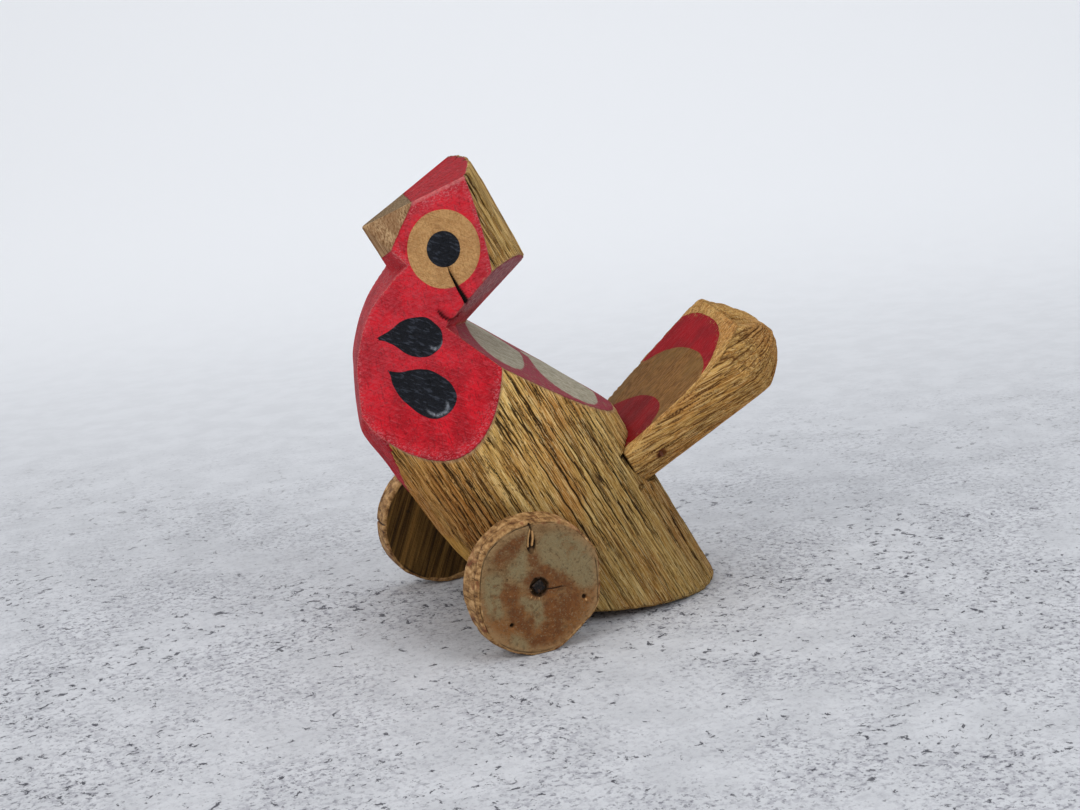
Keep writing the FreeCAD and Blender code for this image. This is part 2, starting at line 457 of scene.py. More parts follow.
def body_rays(th, s):
    dx, dy = np.cos(th), np.sin(th)
    c = centre_p(s)
    z = np.zeros_like(s)
    bend = np.clip((s - 88.0) / 52.0, 0, None)
    swell = 0.9 * np.exp(-((s - 85.0) / 9.0) ** 2) * np.clip(-dx, 0, 1) ** 2
    nat = ray_circle(1.5 * bend, 2.5 * bend, LOG_R, c, z, dx, dy) + swell
    front_r = np.interp(s, SHIN[:, 0], SHIN[:, 1])
    scr = np.where(s < 72.0, ray_circle(36.0 - front_r, z, 36.0, c, z, dx, dy), 500.0)
    near = ray_plane(-0.370, -0.812, 62.2 - 0.45 * s, c, z, dx, dy)
    far = ray_plane(-0.370, 0.812, 62.2 - 0.45 * s, c, z, dx, dy)
    br = np.interp(s, BREAST[:, 0], BREAST[:, 1], left=-60.0)
    breast = ray_plane(-1.0, 0.08, -br - 1.04 + 0.5, c, z, dx, dy)
    bill = np.minimum(ray_plane(-1.0, 0.47, 1.7, c, z, dx, dy), ray_plane(-1.0, -0.47, 1.7, c, z, dx, dy))
    front = np.maximum(breast, bill)
    back = np.minimum(ray_plane(1.89, 0.17, 112.0 - s, c, z, dx, dy), ray_plane(1.89, -0.17, 112.0 - s, c, z, dx, dy))
    jaw = np.minimum(ray_plane(0.266, 0.505, s - 93.5, c, z, dx, dy), ray_plane(0.266, -0.505, s - 93.5, c, z, dx, dy))
    return dict(nat=np.minimum(nat, scr), near=near, far=far, front=front, back=back, jaw=jaw, c=c, dx=dx, dy=dy, bill=bill, breast=breast)


def body_surface(th, s):
    r = body_rays(th, s)
    rear = np.maximum(r["back"], r["jaw"])
    side = np.minimum(r["near"], r["far"])
    rho = softmin([r["nat"], r["near"], r["far"], r["front"], rear], 120.0)
    c, dx, dy = r["c"], r["dx"], r["dy"]
    cut = np.minimum(np.minimum(side, r["front"]), rear)
    isnat = smooth(-0.05, 0.7, cut - r["nat"])
    # seat of the tail, with the saw kerfs at its corners
    floor = ray_plane(1.0, 0.0, 26.1, c, 0 * s, dx, dy)
    qs = np.sqrt(np.maximum(21.45 ** 2 - (s - 44.6) ** 2, 0.0))
    w = smooth(-0.45, 0.45, qs - np.abs(floor * dy)) * (s < 42.0) * (s > 23.0) * (dx > 0)
    seat = np.minimum(rho, floor)
    rho = rho * (1 - w) + seat * w
    kerf = ray_plane(1.0, 0.0, 24.6, c, 0 * s, dx, dy)
    on = np.maximum(((s > 41.0) & (s < 42.0)) * 1.0, ((s > 29.2) & (s < 30.6) & (np.abs(kerf * dy) > 16.6)) * 1.0) * (dx > 0.5)
    on = on * (kerf < rho) * (np.abs(kerf * dy) < 21.4)
    rho = np.where(on > 0, np.minimum(rho, kerf), rho)
    seatness = np.maximum(w, on)
    p, q = c + rho * dx, rho * dy
    # long fissures on the natural surface
    lth = np.arctan2(q, p)
    girth = 2 * np.pi * LOG_R
    arc = np.mod(lth / (2 * np.pi), 1.0) * girth
    head = smooth(100.0, 108.0, s) * (p > 15)
    calm = 0.55 + 0.75 * Noise2(5, 6)(arc * 6 / girth, s / 45.0)
    zone = 0.35 + 1.0 * smooth(0.30, 0.62, Noise2(7, 5)(arc * 5 / girth, s / 55.0))
    depth, dark = stamped(100, arc, s, girth, (-8.0, 112.0), [(40, 62.0, 0.26, 1.05), (170, 34.0, 0.20, 0.65), (620, 15.0, 0.16, 0.42), (1300, 6.5, 0.15, 0.30)])
    depth, dark = depth * (0.6 + 0.4 * calm) * np.minimum(zone, 1.0), dark * np.minimum(zone + 0.15, 1.0)
    d2, k2 = stamped(300, arc, s, girth, (98.0, 137.0), [(52, 34.0, 0.34, 1.15), (180, 20.0, 0.22, 0.6), (380, 8.0, 0.17, 0.35)], 0.4)
    depth = depth * (1 - head) + d2 * head
    dark = dark * (1 - head) + k2 * head
    ribs = (Noise2(61, 90)(arc * 90 / girth, s / 26.0) - 0.5) * 0.34 + (Noise2(62, 200)(arc * 200 / girth, s / 12.0) - 0.5) * 0.2
    lump = (Noise2(63, 9)(arc * 9 / girth, s / 30.0) - 0.5) * 0.7
    flakes = smooth(0.55, 0.62, Noise2(64, 60)(arc * 60 / girth, s / 9.0)) * 0.22
    ribs = ribs + (Noise2(65, 150)(arc * 150 / girth, s / 40.0) - 0.5) * 0.34
    rise = isnat * (ribs - 0.05 + np.minimum(lump, 0.15) - flakes * 0.6) - isnat * depth
    dark = dark * isnat
    # knife work on the cut faces
    P = np.stack([p, q, s], -1)
    plane = (n3(70, P, 9.0) - 0.5) * 0.5 + (n3(75, P, 3.2) - 0.5) * 0.16
    rise = rise + (1 - isnat) * plane * (1 - seatness)
    # drying crack through the eye, the knife cut at the neck, small chips: left side
    leftside = (q < 0) & (side <= r["nat"] + 0.3)
    cd, along = line_d(s, p, CRACK)
    half = np.interp(along, [0, 0.25, 0.7, 0.92, 1.0], [0.06, 0.26, 0.60, 0.72, 0.35])
    crack = np.exp(-(cd / np.maximum(half, 0.05)) ** 2 * 0.8) * leftside
    cut_d, al = line_d(s, p, NECK_CUT)
    cut = np.exp(-(cut_d / 0.62) ** 2) * (side <= r["nat"] + 0.3) * smooth(0.0, 0.25, al)
    lip_d, ll = line_d(s, p, [(108.6, 4.9), (106.9, 5.2), (105.7, 6.2)])
    lip = np.exp(-(lip_d / 0.8) ** 2) * leftside
    rise = rise - 1.6 * crack - 1.0 * cut + 0.5 * lip
    chips = [(110.9, 18.4, 0.45, 0.45), (94.3, 2.0, 0.6, 0.22), (96.2, 0.4, 0.45, 0.2), (93.6, 3.4, 0.4, 0.2)]
    nick = np.zeros_like(s)
    for cs, cp, size, deep in chips:
        nick = np.maximum(nick, deep * np.exp(-(((s - cs) / size) ** 2 + ((p - cp) / (size * 1.3)) ** 2)) * leftside)
    rise = rise - nick
    rho2 = np.maximum(rho + rise, 0.5)
    p, q = c + rho2 * dx, rho2 * dy
    # paint fields, in mm, positive inside
    qa = np.abs(q)
    others = np.minimum(np.minimum(r["nat"], r["front"]), rear)
    sideness = np.clip((others - side) * 1.6, -6, 6)
    beak = (s - 135.9) * -0.822 + (p - 13.6) * 0.569
    low = s - (60.0 + 0.45 * qa + 0.052 * qa * qa)
    frontal = np.where(s > 100, np.clip(-(p - 12.0), -6, 6), np.clip(-(p + 17.0), -6, 6))
    jawness = np.clip((np.minimum(r["nat"], side) - r["jaw"]) * 1.2, -6, 6) * np.where(r["jaw"] > r["back"], 1, -1)
    jawness = np.where((r["jaw"] > r["back"]) & (p > r["c"]), jawness, -6.0)
    side_red = np.minimum(sideness, beak)
    front_red = np.minimum(np.minimum(frontal, low * 0.7), beak)
    red = np.maximum(np.maximum(side_red, front_red), np.minimum(jawness, 3.0))
    back_ok = (r["back"] > r["jaw"]) & (p > -6)
    backness = np.where(back_ok, np.clip((np.minimum(r["nat"], side) - r["back"]) * 1.2, -6, 6), -6.0)
    o1 = 1 - (np.abs((s - 87.3) / 8.6) ** 2.4 + np.abs(q / 25.5) ** 2.4)
    o2 = 1 - (np.abs((s - 65.6) / 10.4) ** 2.4 + np.abs(q / 20.5) ** 2.4)
    ovals = np.maximum(o1 * 4.5, o2 * 5.0)
    eye = np.sqrt((s - EYE[0]) ** 2 + (p - EYE[1]) ** 2 + (qa - EYE[2]) ** 2)
    drops = np.maximum(poly_sd(s, p, DROP1), poly_sd(s, p, DROP2)) * 1.15
    drops = np.where((sideness > -0.5) & (p < 6), drops, -9.0)
    glint = np.zeros_like(s)
    for gs, gp, ga, gr in ((101.4, -2.2, 0.9, 1.9), (87.2, -11.5, 0.5, 3.0)):
        rr_ = np.hypot(s - gs - 0.4, p - gp)
        glint = np.maximum(glint, np.exp(-((rr_ - gr) / 0.32) ** 2) * smooth(0.15, -0.5, (s - gs) / gr) * leftside)
    # the tail seat and saw kerfs take half darkness in 'dark' as painted shade
    attrs = dict(glint=glint, facet=np.clip(np.minimum(np.abs(side - np.minimum(r["nat"], r["front"])), 4.0), 0, 4), nat=isnat, dark=np.clip(np.maximum(dark, seatness * 0.5), 0, 1), red=red, tone=smooth(0.5, -0.5, sideness), back=backness,
                 oval=ovals, eye=eye, drop=drops, crack=np.clip(crack + 0.0 * cut, 0, 1), knife=cut, nick=np.clip(nick * 1.6, 0, 1))
    return p, q, attrs


def build_log(material):
    NT = 1000
    th = np.linspace(0, 2 * np.pi, NT, endpoint=False) + 0.0007
    rise4 = math.tan(math.radians(4.0))
    land_x = LOG_R / math.cos(LEAN) - 9.0
    # height of the base plane along the log, for every direction
    slo = np.zeros(NT)
    for _ in range(12):
        p, q, _a = body_surface(th, slo)
        x = slo * U[0] + p * PV[0] + q * QV[0]
        zb = np.maximum(0.0, (land_x - x) * rise4)
        lift = zb - (slo * U[2] + p * PV[2] + q * QV[2])
        slo = slo + lift / U[2]
    kernel = np.ones(9) / 9.0
    slo = np.convolve(np.concatenate([slo[-8:], slo, slo[:8]]), kernel, "same")[8:-8]
    h = np.array([0.0, 0.18, 0.45, 0.8, 1.2, 1.7, 2.3, 3.0])
    top = 45.0
    t = np.linspace(0, 1, 72)[1:]
    rows = [slo + v for v in h] + [slo + 3.0 + (top - slo - 3.0) * v for v in t]
    fixed = list(np.arange(45.7, 136.0, 0.62))
    fixed = [v for v in fixed if abs(v - 121.9) > 0.4] + [121.55, 121.8, 121.93, 122.3, 135.5, 135.8, 135.95, 136.0]
    fixed = sorted(fixed)
    rows += [np.full(NT, v) for v in fixed]
    S = np.array(rows)
    # rows close to the saw cut above the seat snap to both sides of it
    for target, gap in ((42.0, 0.02), (41.0, 0.02)):
        for j in range(NT):
            i = int(np.argmin(np.abs(S[:80, j] - target)))
            S[i, j] = target - gap
            S[i + 1, j] = target + gap
    TH = np.broadcast_to(th, S.shape)
    p, q, attrs = body_surface(TH, S)
    c = centre_p(S)
    # rims
    hh = S - slo[None, :]
    r0 = 2.2
    inset = np.where(hh < r0, r0 - np.sqrt(np.maximum(r0 * r0 - (r0 - hh) ** 2, 0.0)), 0.0)
    tt = 136.0 - S
    r1 = 0.5
    inset = inset + np.where(tt < r1, r1 - np.sqrt(np.maximum(r1 * r1 - (r1 - tt) ** 2, 0.0)), 0.0)
    rr = np.hypot(p - c, q)
    k = np.maximum(rr - inset, 0.3) / np.maximum(rr, 1e-6)
    p, q = c + (p - c) * k, q * k
    V = world(S, p, q)
    V[..., 2] = np.maximum(V[..., 2], 0.0)
    L = np.stack([p, q, S], -1)
    n_rows = len(S)
    # base cap
    def ring_attrs(f):
        return {k: v[0] * f for k, v in attrs.items()}
    caps_v, caps_l, caps_a = [], [], []
    rim = V[0] / MM - SHIFT
    mid = rim.mean(0)
    fr = [0.985, 0.95, 0.88, 0.78, 0.66, 0.54, 0.42, 0.3, 0.19, 0.1, 0.03]
    for f in fr:
        W = mid + (rim - mid) * f
        W[:, 2] = np.maximum(0.0, (land_x - W[:, 0]) * rise4)
        sp = np.stack([W @ PV, W @ QV, W @ U], -1)
        bumpy = (n3(91, sp, 5.0) - 0.35) * 0.25 * (1 - f * 0.4)
        W[:, 2] += np.maximum(bumpy, 0) * (W[:, 2] > 0.05)
        caps_v.append((W + SHIFT) * MM)
        caps_l.append(sp)
    # top cap, lightly dished by the saw
    crown_v, crown_l = [], []
    last = L[-1]
    cen = np.array([15.0, 0.5, 136.0])
    ft = [0.985, 0.95, 0.9, 0.84, 0.77, 0.7, 0.62, 0.54, 0.46, 0.38, 0.3, 0.22, 0.14, 0.07, 0.02]
    for f in ft:
        sp = cen + (last - cen) * f
        sp[:, 2] = 136.0 - 0.25 * (n3(93, sp * np.array([0.35, 1.6, 1]), 3.0)) * smooth(1.0, 0.9, f)
        crown_v.append(world(sp[:, 2], sp[:, 0], sp[:, 1]))
        crown_l.append(sp)
    zero = {k: np.zeros(NT) for k in attrs}
    base_a = dict(zero)
    base_a.update(facet=np.full(NT, 4.0), red=np.full(NT, -6.0), back=np.full(NT, -6.0), eye=np.full(NT, 99.0), drop=np.full(NT, -9.0), tone=np.ones(NT),
                  oval=np.full(NT, -6.0))
    blocks_v = [v for v in reversed(caps_v)] + [V.reshape(-1, 3)] + crown_v
    blocks_l = [v for v in reversed(caps_l)] + [L.reshape(-1, 3)] + crown_l
    A = {}
    for k in attrs:
        parts = [base_a[k]] * len(caps_v) + [attrs[k].ravel()]
        for sp in crown_l:
            if k == "red":
                parts.append((sp[:, 2] - 135.9) * -0.822 + (sp[:, 0] - 13.6) * 0.569)
            elif k == "tone":
                parts.append(np.ones(NT))
            else:
                parts.append(base_a[k])
        A[k] = np.concatenate(parts)
    cap = np.concatenate([np.zeros(len(caps_v) * NT), np.zeros(n_rows * NT), np.ones(len(crown_v) * NT)])
    A["top"] = cap
    base = np.concatenate([np.ones(len(caps_v) * NT), np.zeros((n_rows + len(crown_v)) * NT)])
    A["under"] = base
    verts = np.vstack(blocks_v)
    lc = np.vstack(blocks_l)
    total_rows = len(verts) // NT
    faces = [f for f in grid_faces(total_rows, NT)]
    faces.append(np.arange(NT)[::-1])
    faces.append(np.arange(NT) + (total_rows - 1) * NT)
    ob = make("bird_log", verts, faces, material, A, {"lc": lc})
    return ob


# ------------------------------------------------------------------ the tail: half a split branch
TAIL_R, FLAT_K = 21.3, 0.296
TAIL_END = [(59.6, 70.2), (55.0, 74.6), (53.5, 78.7), (50.8, 82.5), (47.0, 84.6), (42.5, 85.3), (38.5, 84.8), (34.5, 82.9),
            (31.2, 79.8), (28.2, 74.8), (25.8, 69.4), (21.0, 60.8)]


def tail_flat(p, q):
    twist = np.clip((60.0 - p) / 33.0, 0, 1) * 1.1
    return 39.4 + FLAT_K * (p - 27.0) + twist * (1.0 - q / 20.0)


def build_tail(material):
    NT = 420
    phi = np.linspace(0, 2 * np.pi, NT, endpoint=False)
    dq, ds = np.cos(phi), np.sin(phi)
    P_, Q_, S_ = [], [], []
    RHO, PART = [], []
    axis = lambda p: 44.6 + 0.075 * (p - 26.5)
    mid = lambda p: 39.4 + FLAT_K * (p - 27.0) - 9.0
    # straight part
    ps = list(np.arange(26.6, 60.0, 0.45))
    C0 = np.array([60.0, 0.0, mid(60.0)])
    dirs, origins = [], []
    for p in ps:
        dirs.append(np.stack([np.zeros(NT), dq, ds], -1))
        origins.append(np.tile(np.array([p, 0.0, mid(p)]), (NT, 1)))
    for al in np.radians(np.concatenate([np.arange(89.4, 40, -0.85), np.arange(40, 1.0, -0.9), [0.6]])):
        dirs.append(np.stack([np.full(NT, math.cos(al)), math.sin(al) * dq, math.sin(al) * ds], -1))
        origins.append(np.tile(C0, (NT, 1)))
    D = np.array(dirs)
    O = np.array(origins)
    # branch: cylinder about the line (p, 0, axis(p))
    ax = np.array([1.0, 0.0, 0.075])
    ax /= np.linalg.norm(ax)
    A0 = np.array([26.5, 0.0, 44.6])
    W = O - A0
    Dp = D - (D @ ax)[..., None] * ax
    Wp = W - (W @ ax)[..., None] * ax
    a = (Dp * Dp).sum(-1)
    b = (Dp * Wp).sum(-1)
    c = (Wp * Wp).sum(-1) - TAIL_R ** 2
    branch = np.where(a > 1e-6, (-b + np.sqrt(np.maximum(b * b - a * c, 0))) / np.maximum(a, 1e-6), 500.0)
    # split face, a little twisted near the root
    n = np.array([-FLAT_K, 0.0, 1.0])
    d0 = 39.4 - FLAT_K * 27.0
    num = d0 - (O @ n)
    tw = np.clip((60.0 - O[..., 0]) / 33.0, 0, 1) * 1.1
    num = num + tw
    den = (D @ n) + tw * D[..., 1] / 20.0
    flat = np.where(den > 1e-6, num / np.maximum(den, 1e-6), 500.0)
    rays = [branch, flat]
    ends = []
    for (s0, p0), (s1, p1) in zip(TAIL_END[:-1], TAIL_END[1:]):
        nn = np.array([-(s1 - s0), 0.0, (p1 - p0)])
        nn /= np.linalg.norm(nn)
        if nn[0] * (p0 - 55.0) + nn[2] * (s0 - 42.0) < 0:
            nn = -nn
        dd = nn[0] * p0 + nn[2] * s0
        num = dd - (O @ nn)
        den = D @ nn
        ends.append(np.where(den > 1e-6, num / np.maximum(den, 1e-6), 500.0))
    E = np.array([58.0, 2.5, 44.0])
    R = np.array([29.2, 25.0, 24.0])
    wo, wd = (O - E) / R, D / R
    a = (wd * wd).sum(-1)
    b = (wd * wo).sum(-1)
    c = (wo * wo).sum(-1) - 1.0
    ball = (-b + np.sqrt(np.maximum(b * b - a * c, 0))) / a
    ball = np.where((O[..., 0] >= 60.0), ball, 500.0)
    end = softmin(ends + [ball], 90.0)
    wider = 0.9 * np.clip(D[..., 1], 0, 1) ** 2 * smooth(29.0, 40.0, O[..., 0])
    rho = softmin([branch + 0.15 + wider, flat, np.where(O[..., 0] >= 60.0, end, 500.0)], 80.0)
    P = O + rho[..., None] * D
    bark = smooth(0.0, 0.5, np.minimum(flat, end) - branch)
    flatness = np.clip((np.minimum(branch, end) - flat) * 1.3, -6, 6)
    endness = smooth(0.0, 0.6, np.minimum(branch, flat) - end)
    p, q, s = P[..., 0], P[..., 1], P[..., 2]
    fan = 0.14 * (p - 27.0) - 0.0045 * (p - 27.0) * np.clip(s - 40.0, 0, 16)
    ang = np.arctan2(s + fan - axis(p) - 2.0, q)
    garc = ang * TAIL_R
    gl = p * 0.985 - s * 0.15
    depth, dark = stamped(500, garc, gl, 0, (18.0, 84.0), [(30, 24.0, 0.24, 0.6), (110, 14.0, 0.2, 0.48), (420, 8.5, 0.17, 0.38), (800, 4.5, 0.15, 0.28)])
    ribs = (Noise2(511)(garc / 1.1, gl / 14.0) - 0.5) * 0.42 + (Noise2(512)(garc / 0.55, gl / 6.0) - 0.5) * 0.26
    rough_end = smooth(58.0, 70.0, p) * (1 - smooth(-1.0, 0.5, flatness))
    pole = smooth(2.0, 7.0, np.hypot(q, s + fan - axis(p) - 2.0))
    dark = dark * pole
    grainy = (n3(530, np.stack([q, s, p * 0.3], -1), 1.3) - 0.5) * 0.5 * (1 - pole)
    rise = (1 - smooth(-0.6, 0.3, flatness)) * (ribs * (1 + 0.6 * rough_end) * pole + grainy - depth * pole)
    tk = np.sqrt((p - 36.2) ** 2 + (q + 18.0) ** 2 + (s - 34.5) ** 2)
    rise = rise - 0.72 * np.exp(-(tk / 1.35) ** 6)
    sweep = (n3(520, P, 7.0) - 0.5) * 0.35 + (Noise2(521)(q / 1.6, p / 30.0) - 0.5) * 0.14
    rise = rise + smooth(-0.3, 0.5, flatness) * sweep
    rho = np.maximum(rho + rise, 0.4)
    P = O + rho[..., None] * D
    p, q, s = P[..., 0], P[..., 1], P[..., 2]
    V = world(s, p, q)
    # paint on the split face: distance along it from the root, and across
    l = (p - 27.0) * math.sqrt(1 + FLAT_K ** 2)
    edge = poly_sd(p, q, rounded([(20.0, -13.3), (29.1, -16.4), (34.0, -17.6), (40.0, -18.6), (47.5, -19.6), (53.6, -19.6), (58.3, -18.6), (62.1, -17.1), (65.2, -14.8),
                                  (68.1, -12.0), (70.6, -8.6), (72.2, -3.9), (72.8, 2.3), (72.5, 8.3), (71.6, 13.9), (69.6, 18.5), (66.0, 21.5),
                                  (50.0, 26.0), (20.0, 26.0)], 5))
    tan_ = poly_sd(p, q, rounded([(20.0, -40.0), (44.0, -30.0), (55.0, -20.5), (58.0, -18.6), (60.2, -16.0), (61.8, -12.0), (62.6, -7.0), (62.2, -1.5), (60.9, 5.0),
                                  (58.7, 10.2), (56.2, 14.2), (53.0, 17.4), (50.0, 20.5), (44.0, 30.0), (20.0, 40.0)], 5))
    inner = poly_sd(p, q, rounded([(20.0, -24.0), (33.0, -20.5), (38.6, -17.6), (41.6, -15.8), (43.6, -13.2), (44.4, -9.6), (44.3, -4.2), (42.6, 2.2), (40.2, 7.2),
                                   (37.4, 11.2), (34.2, 15.2), (20.0, 30.0)], 5))
    A = dict(paint=np.minimum(edge, flatness), tan=tan_, inner=inner, dark=np.clip(dark, 0, 1) * (1 - smooth(-0.6, 0.3, flatness)),
             endw=endness * (1 - smooth(-0.6, 0.3, flatness)),
             rust=np.sqrt((p - 36.2) ** 2 + (q + 18.0) ** 2 + (s - 34.5) ** 2))
    nrow = len(P)
    fan = 0.14 * (p - 27.0) - 0.0045 * (p - 27.0) * np.clip(s - 40.0, 0, 16)
    lc = np.stack([q, s + fan, p * 0.985 - s * 0.15], -1)
    lc = np.where((flatness > -0.3)[..., None], np.stack([q, s, p], -1), lc)
    verts = V.reshape(-1, 3)
    faces = [f for f in grid_faces(nrow, NT)]
    faces.append(np.arange(NT)[::-1])
    faces.append(np.arange(NT) + (nrow - 1) * NT)
    ob = make("bird_tail", verts, faces, material, {k: v.ravel() for k, v in A.items()}, {"lc": lc.reshape(-1, 3)})
    return ob


# ------------------------------------------------------------------ wheels: slices of a branch with bark
NEAR_RIM = [(-54.4, 25.6), (-53.8, 28.3), (-52.7, 31.0), (-50.9, 33.5), (-48.4, 35.5), (-45.2, 37.2), (-42.1, 38.3), (-39.7, 38.3), (-33.1, 38.2), (-30.0, 37.8),
            (-27.1, 36.6), (-24.2, 34.6), (-21.4, 31.7), (-19.5, 28.9), (-18.1, 26.6), (-17.5, 23.5), (-17.6, 19.0), (-18.0, 14.6), (-18.6, 10.9), (-20.5, 8.3),
            (-23.2, 6.2), (-26.2, 3.9), (-29.5, 1.6), (-33.7, -0.4), (-36.9, -1.1), (-40.0, -1.6), (-43.0, -0.9), (-45.9, 0.4), (-48.7, 2.6), (-51.4, 5.9),
            (-53.5, 9.3), (-54.5, 13.3), (-55.0, 17.0), (-54.9, 21.3)]
WHEEL_R = {"left": 19.6, "right": 20.4}


RUSTY = [[(-2.3, 5.4), (-0.2, 6.2), (1.9, 5.7), (4.5, 3.9), (7.5, 2.1), (10.1, -0.9), (11.1, -3.2), (9.8, -3.6), (5.2, -1.9), (1.3, -3.2), (-2.3, -2.4), (-4.0, -0.8), (-4.0, 2.2), (-2.9, 3.8)],
         [(8.3, -2.6), (11.3, -4.5), (12.0, -7.1), (10.1, -10.0), (8.1, -11.7), (4.4, -10.8), (1.4, -8.7), (1.1, -6.2), (1.9, -4.2), (5.0, -4.0)],
         [(-9.8, 2.9), (-6.8, 2.5), (-6.4, -0.3), (-7.6, -3.0), (-10.5, -3.6), (-11.1, -1.0), (-10.6, 1.2)],
         [(-9.9, -4.3), (-6.3, -4.8), (-4.7, -7.9), (-2.9, -8.3), (-2.6, -11.4), (-4.2, -15.0), (-7.0, -11.6), (-9.1, -8.4)],
         [(0.0, -10.5), (5.9, -11.2), (5.6, -14.8), (3.1, -17.3), (-1.0, -17.8), (-3.8, -17.8), (-4.5, -15.2), (-0.9, -13.6)],
         [(-11.9, 12.2), (-4.8, 16.0), (-2.8, 14.7), (-7.2, 10.0), (-11.2, 9.7)],
         [(-2.5, 9.6), (0.1, 9.1), (0.1, 6.4), (-2.0, 6.5)]]
GREENISH = [[(1.5, 13.8), (6.9, 15.1), (14.3, 10.6), (17.8, 3.5), (17.8, -3.2), (13.0, -3.3), (10.1, -0.3), (5.8, 3.7), (1.4, 7.0)],
            [(-7.4, 8.9), (-3.4, 11.6), (-2.6, 6.7), (-4.3, 2.8), (-7.9, 3.1), (-9.2, 5.7)],
            [(-15.5, 6.5), (-10.2, 5.3), (-11.4, -0.4), (-10.8, -6.5), (-15.8, -5.3), (-16.7, 0.8)],
            [(-5.9, -1.6), (0.7, -3.9), (0.9, -7.9), (0.6, -10.6), (-2.6, -11.4), (-2.8, -7.7), (-6.2, -4.5)],
            [(-9.5, -12.2), (-5.3, -13.8), (-4.5, -17.9), (-8.2, -17.4), (-10.4, -15.0)]]


def rim_radius(side, a):
    if side == "left":
        pts = np.array(NEAR_RIM) - np.array([-36.6, 19.6])
        ang = np.arctan2(pts[:, 1], pts[:, 0])
        rad = np.hypot(pts[:, 0], pts[:, 1])
        o = np.argsort(ang)
        ang, rad = ang[o], rad[o]
        r = np.interp(a, np.concatenate([ang - 2 * np.pi, ang, ang + 2 * np.pi]), np.tile(rad, 3))
        return np.minimum(r + 0.15, 20.2)
    low = smooth(0.2, 1.1, np.cos(a + 1.0))
    return WHEEL_R[side] * (1 + 0.022 * smooth(0.2, 1.0, np.cos(a - 3.3)) - 0.008 * np.sin(3 * a + 0.6) - 0.055 * low)


